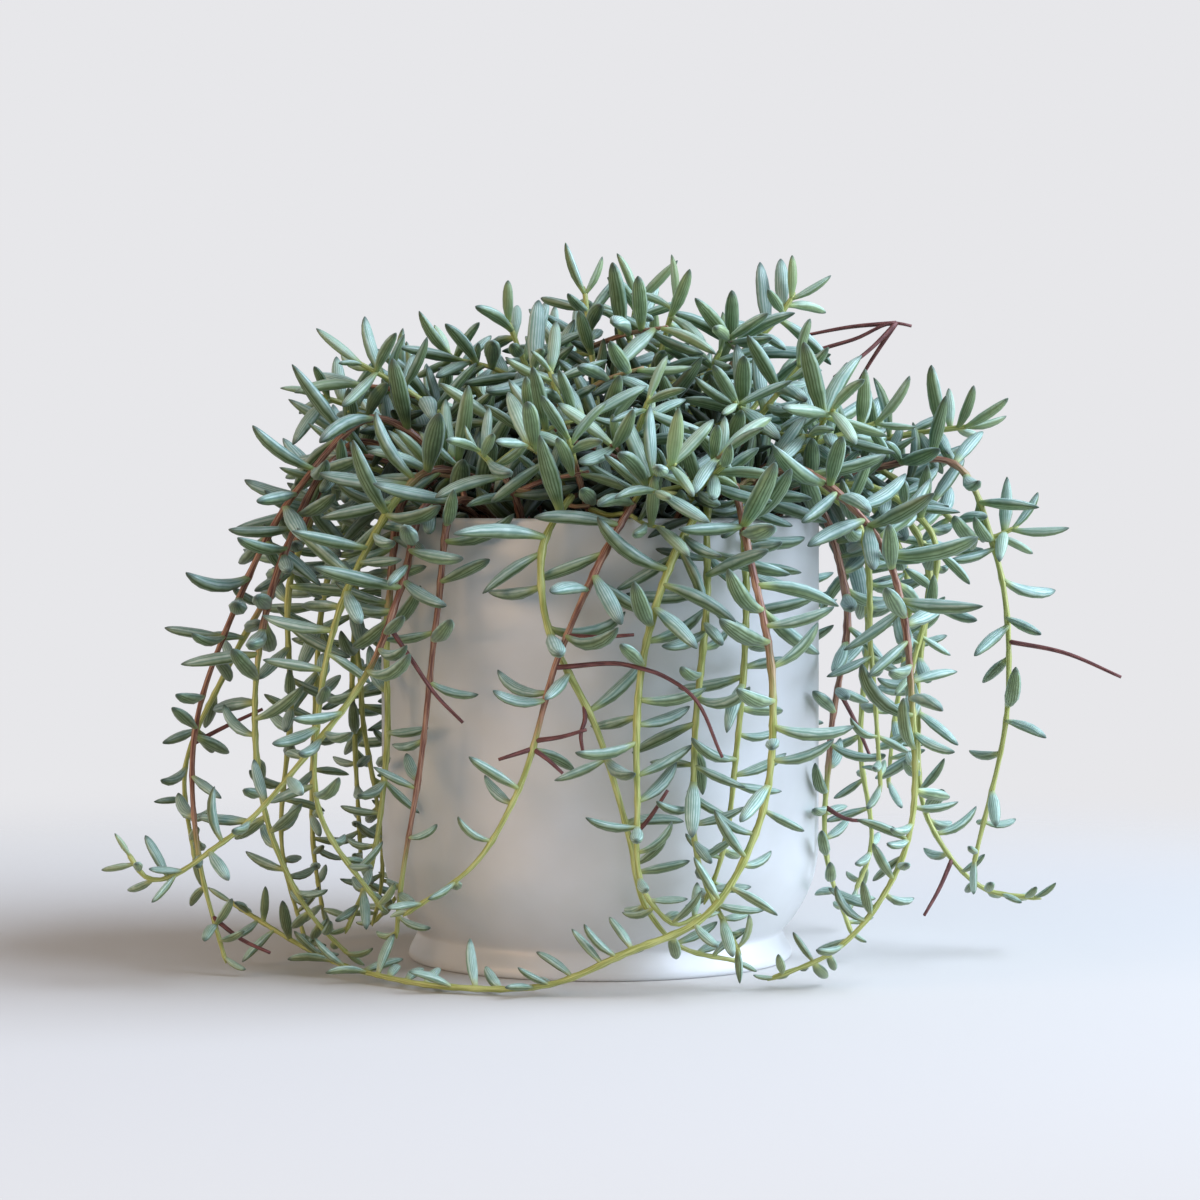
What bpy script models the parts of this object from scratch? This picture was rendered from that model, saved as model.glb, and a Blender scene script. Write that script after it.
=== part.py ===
"""Potted string of fishhooks: a trailing succulent with hooked leaves in a white ceramic pot.

The pot stands on the plane z = 0 with its axis on the z axis, and +Y points to its back.
Sizes are in millimetres up to the mesh, which is made in metres. Each stem is one solid with
its leaves and dry twigs, and stands in a plain hole in the soil.
"""

import math

import bpy
import numpy as np

MM = 0.001

# Pot, in millimetres
POT_RADIUS = 70.0
POT_HEIGHT = 141.0
WALL = 5.0
FLOOR = 8.0
RIM_ROUND = 1.5
SHOULDER_HEIGHT = 37.0
SHOULDER_RADIUS = 40.0
FOOT_HEIGHT = 9.0
FOOT_RADIUS = 61.5
INNER_CORNER = 30.0
SHOULDER_STEPS = 4
CORNER_STEPS = 3

# Potting soil and the holes that the stems stand in
SOIL_TOP = 132.0
FIT_GAP = 0.3
ROOT_DEPTH = 8.0
HOLE_RISE = 2.0

# Stems: radius at the soil, further on and at the tip
OLD_STEM = 1.25
YOUNG_STEM = 0.95
STEM_TIP = 0.65
TWIG_RADIUS = 0.8
TWIG_TIP = 0.5

# Curves of the stems, and how they are bent clear of one another
ROUTE_STEP = 2.5
CURVE_STEPS = 16
COLLAR = 1.5
HELD_POINTS = 3
CLEAR_GAP = 1.2
WALL_GAP = 0.72
LIE_GAP = 0.5
STEM_PUSH = 0.8
WALL_PUSH = 1.5
SPREAD_PASSES = 3
BEND_ROUNDS = 160
SIDE_ROUNDS = 60
PAIR_ROUNDS = 10
PAIR_REACH = 9.0
PAIR_BLOCK = 400

# Leaves: length by distance from the stem's tip and by height, width, and room kept round each
TIP_DISTANCES = (0.0, 12.0, 50.0, 110.0, 160.0)
HANGING_LENGTHS = (8.0, 13.0, 18.0, 23.0, 28.0)
CROWN_LENGTHS = (16.0, 21.0, 25.0, 26.0, 26.0)
HEIGHTS = (10.0, 60.0, 130.0)
HEIGHT_LENGTHS = (14.0, 19.0, 29.0)
LENGTH_SPREAD = (0.78, 1.14)
LEAF_FOOTING = 0.9
LEAF_PLUMPNESS = 0.20
BEAD_SHARES = np.array([0.28, 0.42, 0.57, 0.72, 0.86, 1.0])
BEAD_WIDTHS = np.array([0.95, 1.0, 1.0, 0.85, 0.6, 0.2])
LEAF_GAP = 0.35
FLOOR_CLEAR = 0.3
OWN_STEM_REACH = 7.5
SEARCH_REACH = 8.0
TURNS = np.radians([0, 22, -22, 45, -45, 70, -70, 100, -100, 135, 180])
SHRINKS = np.array([1.0, 0.88, 0.74, 0.6])
LOWEST_START = -0.72
NEARLY_ALONG = 0.12

# How leaves stand on a stem, angles in degrees: lean to its tip, hook upwards, spread to the sides
GOLDEN_TURN = math.radians(137.5)
LEANS = (-8.0, 56.0)
DROOP_LEAN = 14.0
TIP_LEANS = (50.0, 80.0)
TIP_REACH = 4.0
HOOKS = (-44.0, 28.0)
DROOP_HOOK = 52.0
SIDE_SPREAD = 58.0
SIDE_CHANGE = 0.72
ROLL_SPREAD = 0.6
SPACING_SPREAD = (0.75, 1.25)
CROWDED = 25.0
OVERHANG = 55.0

# Leafless foot of a stem, and spacing of its leaves in the crown and low on a hanging stem
BARE_FOOT = 22.0
CROWN_SPACING = 13.4
HANGING_SPACING = 34.0

# Faceting
POT_SIDES = 36
HOLE_SIDES = 4
STEM_SIDES = 3
TWIG_SIDES = 3
LEAF_SIDES = 3
ROUTE_SLACK = 0.8
SUNK_ROOT = 0.5
LEAF_FLATNESS = 0.75
RING_SHARES = (0.33, 0.7)
RING_FULLNESS = (1.0, 0.94)
SMOOTH_ANGLE = math.radians(40)

# Colours from the photograph, as linear values
POT_COLOUR = (0.78, 0.80, 0.83)
SOIL_COLOUR = (0.035, 0.024, 0.017)
CROWN_COLOUR = (0.16, 0.30, 0.25)
TRAILING_COLOUR = (0.20, 0.31, 0.20)

SEED = 41

# Stems that trail round the back: how many, between which angles, and how each may run
BACK_STEMS = 12
BACK_ARC = (42.0, 148.0)
BACK_ROOTS = (50.0, 34.0)
BACK_CREST = (80.0, 92.0)
BACK_RISE = (153.0, 168.0)
BACK_FALL = (128.0, 138.0)
BACK_BULGE = (8.0, 17.0)
BACK_MIDDLE = 85.0
BACK_ENDS = (6.0, 16.0, 30.0, 48.0)
BACK_SWING = 0.36
BACK_TURN = 5.0
LYING_END = 14.0
LYING_HEIGHT = 2.0


# Each route starts with the root's place in the soil. The points that follow lead the stem
# up, over the rim and down: x to the right, y away from the front, z up.
TRAILING = {
    "stem_front_1": [(-31, -32), (-44, -57, 146), (-49, -66, 113), (-54, -67, 68), (-61, -62, 24),
                    (-62, -59, 13)],
    "stem_front_2": [(6, -45), (9, -72, 144), (3, -79, 134), (-12, -84, 101), (-25, -86, 59),
                    (-36, -84, 40), (-59, -76, 22)],
    "stem_front_3": [(-13, -42), (-9, -66, 147), (-17, -77, 133), (-17, -80, 116), (0, -84, 76),
                    (9, -84, 45), (13, -83, 27), (22, -82, 15), (43, -76, 8)],
    "stem_front_4": [(26, -40), (29, -68, 142), (24, -76, 134), (13, -86, 101), (11, -91, 61),
                    (15, -91, 28), (23, -88, 21), (30, -86, 24)],
    "stem_front_5": [(45, -31), (41, -62, 150), (44, -76, 133), (51, -88, 91), (46, -92, 49),
                    (30, -97, 24), (8, -97, 14), (-14, -92, 4), (-46, -84, 2), (-68, -66, 3),
                    (-93, -32, 7), (-119, -10, 19)],
    "stem_front_6": [(34, -23), (32, -60, 146), (32, -76, 119), (28, -82, 71), (29, -83, 40),
                    (42, -81, 11)],
    "stem_front_7": [(44, -19), (43, -50, 147), (44, -68, 120), (41, -77, 74), (35, -79, 36),
                    (31, -80, 26)],
    "stem_left_1": [(-39, -14), (-72, -18, 172), (-95, -26, 149), (-114, -31, 112), (-126, -35, 74),
                    (-124, -41, 35), (-115, -49, 4)],
    "stem_left_2": [(-44, 2), (-77, 0, 165), (-101, -8, 124), (-119, -14, 91), (-131, -18, 62),
                    (-128, -20, 32)],
    "stem_left_3": [(-21, -33), (-50, -44, 156), (-74, -61, 125), (-85, -68, 81), (-85, -68, 54),
                    (-66, -62, 22)],
    "stem_left_4": [(-36, -24), (-53, -50, 145), (-60, -66, 120), (-68, -73, 98), (-88, -79, 70),
                    (-112, -80, 45), (-136, -77, 34), (-142, -76, 42)],
    "stem_left_5": [(-46, -9), (-80, -14, 161), (-98, -34, 130), (-106, -48, 81), (-101, -49, 44),
                    (-87, -46, 16), (-77, -42, 5)],
    "stem_left_6": [(-49, 12), (-81, 16, 156), (-99, 20, 128), (-101, 18, 75), (-103, 10, 32), (-95, 2, 4)],
    "stem_left_7": [(-37, 24), (-71, 34, 156), (-89, 42, 125), (-95, 42, 73), (-95, 38, 27), (-92, 36, 9)],
    "stem_left_8": [(-45, -20), (-59, -34, 148), (-65, -44, 115), (-66, -44, 66), (-72, -42, 29),
                    (-79, -40, 12)],
    "stem_right_1": [(38, 2), (86, -2, 156), (112, -9, 158), (125, -14, 130), (129, -17, 85),
                    (118, -18, 30)],
    "stem_right_2": [(41, -9), (62, -24, 153), (78, -33, 142), (84, -38, 98), (87, -40, 56)],
    "stem_right_3": [(38, -33), (58, -46, 156), (82, -59, 138), (94, -69, 84), (90, -75, 38),
                    (70, -79, 12), (50, -78, 3)],
    "stem_right_4": [(51, 4), (66, 1, 147), (78, -8, 118), (73, -14, 70), (72, -17, 32), (80, -18, 8)],
    "stem_right_5": [(45, 19), (81, 20, 155), (104, 18, 134), (103, 12, 81), (107, 6, 41), (124, 2, 21),
                    (142, 0, 18)],
    "stem_right_6": [(53, -7), (82, -14, 151), (103, -28, 137), (96, -38, 90)],
    "stem_right_7": [(40, 26), (76, 34, 155), (98, 42, 133), (97, 42, 62), (96, 42, 50)],
    "stem_right_8": [(30, 36), (60, 46, 156), (87, 54, 122), (88, 56, 60), (91, 56, 26), (86, 56, 13)],
}

CROWN = {
    "shoot_01": [(0, -12), (-1, -14, 174), (-5, -8, 214)],
    "shoot_02": [(10, 6), (7, 4, 178), (12, 0, 212)],
    "shoot_03": [(18, -12), (16, -14, 177), (24, -20, 211)],
    "shoot_04": [(-20, 4), (-21, 2, 180), (-30, -2, 205)],
    "shoot_05": [(-8, -26), (-10, -36, 168), (-16, -40, 188)],
    "shoot_06": [(-26, 10), (-36, 12, 175), (-50, 10, 195)],
    "shoot_07": [(-28, -6), (-48, -10, 171), (-66, -16, 184), (-77, -19, 190)],
    "shoot_08": [(-36, 3), (-58, 2, 164), (-77, 0, 175), (-91, -6, 180)],
    "shoot_09": [(-52, -2), (-66, -10, 155), (-80, -16, 157), (-90, -18, 152)],
    "shoot_10": [(26, 2), (28, -2, 172), (39, -6, 195)],
    "shoot_11": [(22, 15), (32, 14, 172), (46, 12, 194), (56, 10, 203), (63, 9, 213)],
    "shoot_12": [(30, -13), (58, -26, 160), (76, -28, 167), (88, -30, 171)],
    "shoot_13": [(22, -49), (30, -66, 150), (38, -78, 158)],
    "shoot_14": [(9, -31), (10, -52, 162), (15, -62, 178)],
    "shoot_15": [(29, -4), (47, -18, 168), (64, -20, 190)],
    "shoot_16": [(52, 11), (71, 12, 160), (98, 9, 167), (120, 5, 170)],
    "shoot_17": [(46, -1), (78, 4, 160), (105, -2, 146), (123, -8, 134), (133, -10, 138)],
    "shoot_18": [(-24, -46), (-28, -62, 152), (-38, -71, 163)],
    "shoot_19": [(-2, -52), (-6, -66, 152), (-10, -77, 167)],
    "shoot_20": [(9, 21), (14, 38, 175), (19, 50, 200)],
    "shoot_21": [(-13, 18), (-17, 36, 175), (-16, 50, 199)],
    "shoot_22": [(33, 24), (46, 24, 170), (60, 30, 188)],
    "shoot_23": [(-29, 25), (-46, 40, 169), (-62, 46, 183)],
}

# Dry, leafless side twigs: the stem that each grows from, then its points
TWIGS = [
    ("stem_front_2", [(-13, -85, 96), (10, -87, 97), (27, -90, 89), (36, -93, 71)]),
    ("stem_front_2", [(-12, -84, 106), (-2, -88, 106), (10, -90, 107)]),
    ("stem_front_2", [(-18, -87, 76), (-11, -89, 77), (-4, -90, 79)]),
    ("stem_front_2", [(-19, -86, 73), (-15, -88, 70), (-11, -89, 66)]),
    ("stem_front_3", [(9, -92, 94), (5, -91, 87), (-1, -90, 80), (-5, -88, 72)]),
    ("stem_front_2", [(-21, -86, 73), (-30, -88, 70)]),
    ("stem_front_3", [(9, -84, 45), (14, -87, 51), (20, -89, 61)]),
    ("stem_left_4", [(-63, -70, 108), (-56, -73, 98), (-49, -74, 88), (-41, -75, 80)]),
    ("stem_left_2", [(-128, -17, 68), (-118, -15, 74), (-107, -13, 80)]),
    ("stem_left_1", [(-120, -45, 17), (-110, -50, 11), (-101, -54, 8)]),
    ("stem_right_1", [(129, -17, 101), (146, -22, 98), (163, -28, 91)]),
    ("stem_right_5", [(116, 3, 31), (110, 0, 21), (104, -3, 13)]),
    ("stem_right_4", [(74, -13, 86), (80, -15, 76), (86, -16, 64)]),
    ("stem_right_4", [(72, -16, 50), (78, -19, 46), (85, -20, 45)]),
    ("shoot_22", [(60, 30, 188), (69, 30, 194), (84, 28, 199), (97, 26, 204), (102, 26, 203)]),
    ("shoot_22", [(97, 26, 204), (83, 30, 203), (66, 34, 200)]),
    ("shoot_22", [(97, 26, 204), (89, 22, 196), (76, 18, 186)]),
    ("shoot_22", [(97, 26, 204), (88, 30, 190), (83, 33, 181)]),
]


def pot_outline():
    """Half outline of the pot with its soil, as distance from the axis and height."""
    centre = POT_RADIUS - SHOULDER_RADIUS
    low = math.asin((SHOULDER_HEIGHT - FOOT_HEIGHT) / SHOULDER_RADIUS)
    shoulder = [(centre + SHOULDER_RADIUS * math.cos(a), SHOULDER_HEIGHT - SHOULDER_RADIUS * math.sin(a))
                for a in np.linspace(low, 0.0, SHOULDER_STEPS)]
    outer = [(0.0, 0.0), (FOOT_RADIUS, 0.0)] + shoulder + [(POT_RADIUS, POT_HEIGHT - RIM_ROUND)]
    rim = [(POT_RADIUS - RIM_ROUND, POT_HEIGHT), (POT_RADIUS - WALL + RIM_ROUND, POT_HEIGHT),
           (POT_RADIUS - WALL, POT_HEIGHT - RIM_ROUND)]
    return outer + rim


def unit(v):
    """The vectors at length one."""
    return v / np.maximum(np.linalg.norm(v, axis=-1, keepdims=True), 1e-9)


def even_points(curve):
    """The curve again, with points about ROUTE_STEP apart."""
    run = np.concatenate([[0.0], np.cumsum(np.linalg.norm(np.diff(curve, axis=0), axis=1))])
    at = np.linspace(0.0, run[-1], max(3, int(round(run[-1] / ROUTE_STEP)) + 1))
    return np.stack([np.interp(at, run, curve[:, k]) for k in range(3)], axis=1)


def smooth_route(points, rise):
    """Even points on a smooth curve through the route's points; `rise` is its starting direction.

    Between two points a and b, a chord apart, with slopes m and n, at a share t of the way:
    (2t^3 - 3t^2 + 1) a + (t^3 - 2t^2 + t) chord m + (3t^2 - 2t^3) b + (t^3 - t^2) chord n.
    """
    p = np.array(points, float)
    chord = np.linalg.norm(np.diff(p, axis=0), axis=1)[:, None]
    course = np.diff(p, axis=0) / chord
    slope = np.vstack([course[:1], course])
    slope[1:-1] = (course[1:] * chord[:-1] + course[:-1] * chord[1:]) / (chord[1:] + chord[:-1])
    if rise is not None:
        slope[0] = rise
    t = np.linspace(0.0, 1.0, CURVE_STEPS + 1)[:-1, None, None]
    curve = ((2 * t ** 3 - 3 * t ** 2 + 1) * p[:-1] + (t ** 3 - 2 * t ** 2 + t) * chord * slope[:-1]
             + (3 * t ** 2 - 2 * t ** 3) * p[1:] + (t ** 3 - t ** 2) * chord * slope[1:])
    curve = np.vstack([curve.transpose(1, 0, 2).reshape(-1, 3), p[-1:]])
    return even_points(curve)


def back_routes():
    """Routes of the stems that trail round the back: from the root over a crest, then down.

    The angle about the pot's axis is angle + swing * part, where part grows down the stem. A stem
    that reaches the surface ends lying on it.
    """
    draw = np.random.default_rng(SEED)
    routes = {}
    for k in range(BACK_STEMS):
        share = k / (BACK_STEMS - 1)
        angle = BACK_ARC[0] + (BACK_ARC[1] - BACK_ARC[0]) * share + draw.uniform(-BACK_TURN, BACK_TURN)
        angle = math.radians(angle)
        root = BACK_ROOTS[k % 2] + draw.uniform(-2, 2)
        crest, bulge = draw.uniform(*BACK_CREST), draw.uniform(*BACK_BULGE)
        swing = draw.uniform(-BACK_SWING, BACK_SWING)
        low = BACK_ENDS[draw.integers(len(BACK_ENDS))] + draw.uniform(0, 8)
        stations = [(root, 0.0, None), (crest, 0.1, draw.uniform(*BACK_RISE)),
                    (crest + bulge, 0.3, draw.uniform(*BACK_FALL)), (crest + bulge, 0.6, BACK_MIDDLE),
                    (crest + 0.5 * bulge, 0.9, low)]
        if low < LYING_END:
            stations.append((crest + 0.8 * bulge, 1.2, LYING_HEIGHT))
        route = []
        for radius, part, height in stations:
            turn = angle + swing * part
            place = (radius * math.cos(turn), radius * math.sin(turn))
            route.append(place if height is None else place + (height,))
        routes["stem_back_%d" % (k + 1)] = route
    return routes


def stem_radius(share):
    """Stem radius at a share of its length, from the soil (0) to the tip (1)."""
    return np.interp(share, (0.0, 0.6, 1.0), (OLD_STEM, YOUNG_STEM, STEM_TIP))


def pot_gap(points):
    """Distance of each point outside the pot and soil, and the direction straight away from them."""
    outline = np.array(pot_outline() + [(POT_RADIUS - WALL, SOIL_TOP), (0.0, SOIL_TOP)])
    flat = np.stack([np.hypot(points[:, 0], points[:, 1]), points[:, 2]], axis=1)
    a, b = outline[:-1], outline[1:]
    ab = b - a
    share = np.clip(((flat[:, None] - a) * ab).sum(2) / (ab ** 2).sum(1), 0.0, 1.0)
    foot = a + share[..., None] * ab
    gap = np.linalg.norm(flat[:, None] - foot, axis=2)
    nearest = gap.argmin(axis=1)
    row = np.arange(len(points))
    side = outline[1:SHOULDER_STEPS + 3]
    outer = np.interp(flat[:, 1], side[:, 1], side[:, 0])
    inside = (flat[:, 0] < outer) & (flat[:, 1] > 0.0) & (flat[:, 1] < POT_HEIGHT)
    inside &= (flat[:, 1] < SOIL_TOP) | (flat[:, 0] > POT_RADIUS - WALL)
    sign = np.where(inside, -1.0, 1.0)
    out = unit(flat - foot[row, nearest]) * sign[:, None]
    around = points[:, :2] / np.maximum(flat[:, :1], 1e-9)
    return gap[row, nearest] * sign, np.hstack([around * out[:, :1], out[:, 1:]])


def near_pairs(points, owner, reach):
    """Pairs of points of different owners that lie within reach of each other."""
    first, second = [], []
    for start in range(0, len(points), PAIR_BLOCK):
        block = points[start:start + PAIR_BLOCK]
        apart = np.linalg.norm(block[:, None] - points[None], axis=2)
        i, j = np.nonzero((apart < reach) & (owner[start:start + PAIR_BLOCK, None] < owner[None]))
        first.append(i + start)
        second.append(j)
    return np.concatenate(first), np.concatenate(second)


def bend_clear(routes, radii, held, owners, rounds):
    """Bends routes that come too close to each other, the pot or the floor smoothly clear.

    Every point closer than its own and the other's radius plus the gap is pushed away, each
    push is spread along its stem, and the rounds repeat. Held points stay where they are, and
    routes of one owner may touch.
    """
    owner = np.repeat(owners, [len(r) for r in routes])
    points, radius, fixed = np.vstack(routes), np.concatenate(radii), np.concatenate(held)
    ends = np.cumsum([len(r) for r in routes])
    inner = np.ones(len(points), bool)
    inner[np.concatenate([[0], ends[:-1], ends - 1])] = False
    for step in range(rounds):
        if step % PAIR_ROUNDS == 0:
            i, j = near_pairs(points, owner, PAIR_REACH)
        apart = points[i] - points[j]
        length = np.linalg.norm(apart, axis=1)
        short = np.clip(radius[i] + radius[j] + CLEAR_GAP - length, 0.0, None)
        push = apart / np.maximum(length, 1e-6)[:, None] * (STEM_PUSH * short)[:, None]
        move = np.zeros_like(points)
        np.add.at(move, i, push)
        np.add.at(move, j, -push)
        gap, out = pot_gap(points)
        move += out * (WALL_PUSH * np.clip(radius + WALL_GAP - gap, 0.0, None))[:, None]
        move[:, 2] += WALL_PUSH * np.clip(radius + LIE_GAP - points[:, 2], 0.0, None)
        move[fixed] = 0.0
        for _ in range(SPREAD_PASSES):
            spread = move.copy()
            spread[1:-1] = 0.25 * move[:-2] + 0.5 * move[1:-1] + 0.25 * move[2:]
            move = np.where(inner[:, None], spread, move)
            move[fixed] = 0.0
        points = points + move
    return np.split(points, ends[:-1])


def grow_stems():
    """Centre line and radius of every stem, by name, bent clear of one another."""
    routes, radii, held = [], [], []
    table = {**TRAILING, **back_routes(), **CROWN}
    for root, *way in table.values():
        collar = (root[0], root[1], SOIL_TOP + COLLAR)
        line = smooth_route([collar] + way, (0.0, 0.0, 1.0))
        line = np.vstack([(root[0], root[1], SOIL_TOP - ROOT_DEPTH), line])
        routes.append(line)
        radii.append(stem_radius(np.linspace(0.0, 1.0, len(line))))
        held.append(np.arange(len(line)) < HELD_POINTS)
    routes = bend_clear(routes, radii, held, np.arange(len(routes)), BEND_ROUNDS)
    return dict(zip(table, zip(routes, radii)))


def side_lines(stems, sides, thickness):
    """Centre lines of side growth, by stem, each begun on the stem itself and bent clear."""
    names = list(stems)
    routes = [stems[name][0] for name in names]
    owners = list(range(len(names)))
    for name, points in sides:
        line = smooth_route(points, None)
        trunk = np.vstack([route for route, own in zip(routes, owners) if names[own] == name])
        shift = trunk[np.linalg.norm(trunk - line[0], axis=1).argmin()] - line[0]
        routes.append(line + shift * np.linspace(1.0, 0.0, len(line))[:, None])
        owners.append(names.index(name))
    radii = [stems[name][1] for name in names]
    radii += [np.linspace(*thickness, len(route)) for route in routes[len(names):]]
    held = [np.ones(len(route), bool) for route in routes[:len(names)]]
    held += [np.arange(len(route)) < HELD_POINTS - 1 for route in routes[len(names):]]
    clear = bend_clear(routes, radii, held, owners, SIDE_ROUNDS)
    lines = {}
    for own, route in zip(owners[len(names):], clear[len(names):]):
        lines.setdefault(names[own], []).append(route)
    return lines


def stem_frames(line):
    """Direction of a line at each point and two directions across it that don't twist."""
    along = unit(np.gradient(line, axis=0))
    across = np.empty_like(along)
    start = np.cross(along[0], (0.0, 1.0, 0.0))
    if np.linalg.norm(start) < NEARLY_ALONG:
        start = np.cross(along[0], (1.0, 0.0, 0.0))
    across[0] = unit(start)
    for k in range(1, len(line)):
        across[k] = unit(across[k - 1] - along[k] * (across[k - 1] @ along[k]))
    return along, across, np.cross(along, across)


def blade_axis(root, start, bend, length, shares):
    """Points of bent blade axes and, at each, the course, the upper side and the width direction.

    An axis is an arc that turns from its start towards the vertical. At a share s of its length,
    angle = bend * s, and the point is
    root + length / bend * (start * sin(angle) + rise * (1 - cos(angle))).
    All but the shares may hold one row for each of several blades.
    """
    upright = np.array([0.0, 0.0, 1.0])
    rise = upright - start * start[..., 2:]
    steep = np.linalg.norm(rise, axis=-1, keepdims=True) < NEARLY_ALONG
    rise = unit(np.where(steep, np.cross(start, (0.3, 1.0, 0.0)), rise))
    start, rise = start[..., None, :], rise[..., None, :]
    bend, length = np.asarray(bend)[..., None, None], np.asarray(length)[..., None, None]
    angle = bend * shares[:, None]
    points = root[..., None, :] + length * (start * np.sin(angle) + rise * (1.0 - np.cos(angle))) / bend
    course = start * np.cos(angle) + rise * np.sin(angle)
    face = rise * np.cos(angle) - start * np.sin(angle)
    return points, course, face, np.cross(face, course)


def leaf_sites(hanging, line, bare, spacings, draw):
    """Places of leaves along a stem, tip first: point index, turn, lean, bend, length and roll.

    In the crown each leaf is turned on by the golden angle. Where a stem hangs, the leaves spread
    to both sides along the pot's wall, and sit further apart the lower they are.
    """
    run = np.concatenate([[0.0], np.cumsum(np.linalg.norm(np.diff(line, axis=0), axis=1))])
    course, across, beyond = stem_frames(line)
    lengths = HANGING_LENGTHS if hanging else CROWN_LENGTHS
    sites = []
    behind, turn, side = 1.0, draw.uniform(0.0, 2.0 * math.pi), 1.0
    while behind < run[-1] - bare:
        place = min(int(np.searchsorted(run, run[-1] - behind)), len(line) - 2)
        droop = np.clip(-course[place, 2], 0.0, 1.0)
        low = hanging and line[place, 2] < POT_HEIGHT
        out = unit(line[place] * (1.0, 1.0, 0.0))
        outward = math.atan2(out @ beyond[place], out @ across[place])
        sideways = outward + side * 0.5 * math.pi + math.radians(draw.uniform(-SIDE_SPREAD, SIDE_SPREAD))
        length = np.interp(behind, TIP_DISTANCES, lengths)
        if hanging:
            length = min(length, np.interp(line[place, 2], HEIGHTS, HEIGHT_LENGTHS))
        length *= draw.uniform(*LENGTH_SPREAD)
        lean = draw.uniform(*LEANS) - DROOP_LEAN * droop
        if behind < TIP_REACH:
            lean = draw.uniform(*TIP_LEANS)
        hook = draw.uniform(*HOOKS) + droop * draw.uniform(0.0, DROOP_HOOK)
        roll = draw.uniform(-ROLL_SPREAD, ROLL_SPREAD)
        sites.append((place, sideways if low else turn, math.radians(lean), math.radians(hook), length, roll))
        spacing = spacings[0]
        if low:
            spacing = np.interp(POT_HEIGHT - line[place, 2], (0.0, OVERHANG), spacings)
        behind += spacing * np.interp(behind, (0.0, CROWDED), (0.5, 1.0)) * draw.uniform(*SPACING_SPREAD)
        turn += GOLDEN_TURN
        side *= -1.0 if draw.uniform() < SIDE_CHANGE else 1.0
    return sites


def grow_leaves(stems, twigs):
    """Leaves along all stems, each turned or shortened until it clears what is there already.

    A leaf is kept clear by a row of beads along its axis. Leaves grow in turn, from the tips
    of all the stems back to the soil.
    """
    names = list(stems)
    plans, frames = [], []
    for k, name in enumerate(names):
        line = stems[name][0]
        frames.append(stem_frames(line))
        spacings = (CROWN_SPACING, HANGING_SPACING)
        draw = np.random.default_rng([SEED, k])
        sites = leaf_sites(name.startswith("stem"), line, BARE_FOOT, spacings, draw)
        plans += [(rank, k, site) for rank, site in enumerate(sites)]
    rows = [(k, *stems[name]) for k, name in enumerate(names)]
    for k, name in enumerate(names):
        rows += [(k, twig, np.full(len(twig), TWIG_RADIUS)) for twig in twigs.get(name, [])]
    used = sum(len(row[1]) for row in rows)
    room = used + len(plans) * len(BEAD_SHARES)
    at, who, big = np.zeros((room, 3)), np.full(room, -1), np.zeros(room)
    at[:used] = np.vstack([row[1] for row in rows])
    who[:used] = np.repeat([row[0] for row in rows], [len(row[1]) for row in rows])
    big[:used] = np.concatenate([row[2] for row in rows])
    extra, shrink = np.tile(TURNS, len(SHRINKS)), np.repeat(SHRINKS, len(TURNS))
    grown = []
    for rank, k, (place, turn, lean, bend, length, roll) in sorted(plans, key=lambda plan: plan[:2]):
        along, across, beyond = (f[place] for f in frames[k])
        root = stems[names[k]][0][place]
        far = np.linalg.norm(at[:used] - root, axis=1)
        others = (who[:used] != k) | (far >= OWN_STEM_REACH)
        near = np.nonzero((far < length + SEARCH_REACH) & others)[0]
        radial = across * np.cos(turn + extra)[:, None] + beyond * np.sin(turn + extra)[:, None]
        start = radial * math.cos(lean) + along * math.sin(lean)
        size = length * shrink
        points = blade_axis(root, start, bend, size, BEAD_SHARES)[0]
        half = 0.5 * (LEAF_FOOTING + LEAF_PLUMPNESS * size)
        wide = half[:, None] * BEAD_WIDTHS
        clear = (start[:, 2] >= LOWEST_START) & ((points[..., 2] - wide).min(axis=1) >= FLOOR_CLEAR)
        gap = np.linalg.norm(points[:, :, None] - at[near], axis=3) - wide[..., None] - big[near]
        clear &= gap.min(axis=(1, 2), initial=np.inf) >= LEAF_GAP
        clear &= (pot_gap(points.reshape(-1, 3))[0].reshape(wide.shape) - wide).min(axis=1) >= LEAF_GAP
        if clear.any():
            best = int(clear.argmax())
            grown.append(dict(stem=names[k], place=place, root=root, start=start[best], bend=bend,
                              length=size[best], half=half[best], roll=roll,
                              beads=points[best], wide=wide[best]))
            at[used:used + len(BEAD_SHARES)], big[used:used + len(BEAD_SHARES)] = points[best], wide[best]
            used += len(BEAD_SHARES)
    return grown


def curve_ring(centre, across, beyond, radius, sides):
    """One ring of points round a stem."""
    angle = 2.0 * math.pi * np.arange(sides) / sides
    return centre + radius * (np.cos(angle)[:, None] * across + np.sin(angle)[:, None] * beyond)


def few_points(line, slack):
    """Indices of the points of a line that keep it within `slack` of its full course."""
    keep = {0, len(line) - 1}
    spans = [(0, len(line) - 1)]
    while spans:
        a, b = spans.pop()
        if b - a < 2:
            continue
        chord = unit(line[b] - line[a])
        off = line[a + 1:b] - line[a]
        far = np.linalg.norm(off - (off @ chord)[:, None] * chord, axis=1)
        if far.max() > slack:
            middle = a + 1 + int(far.argmax())
            keep.add(middle)
            spans += [(a, middle), (middle, b)]
    return sorted(keep)


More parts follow.
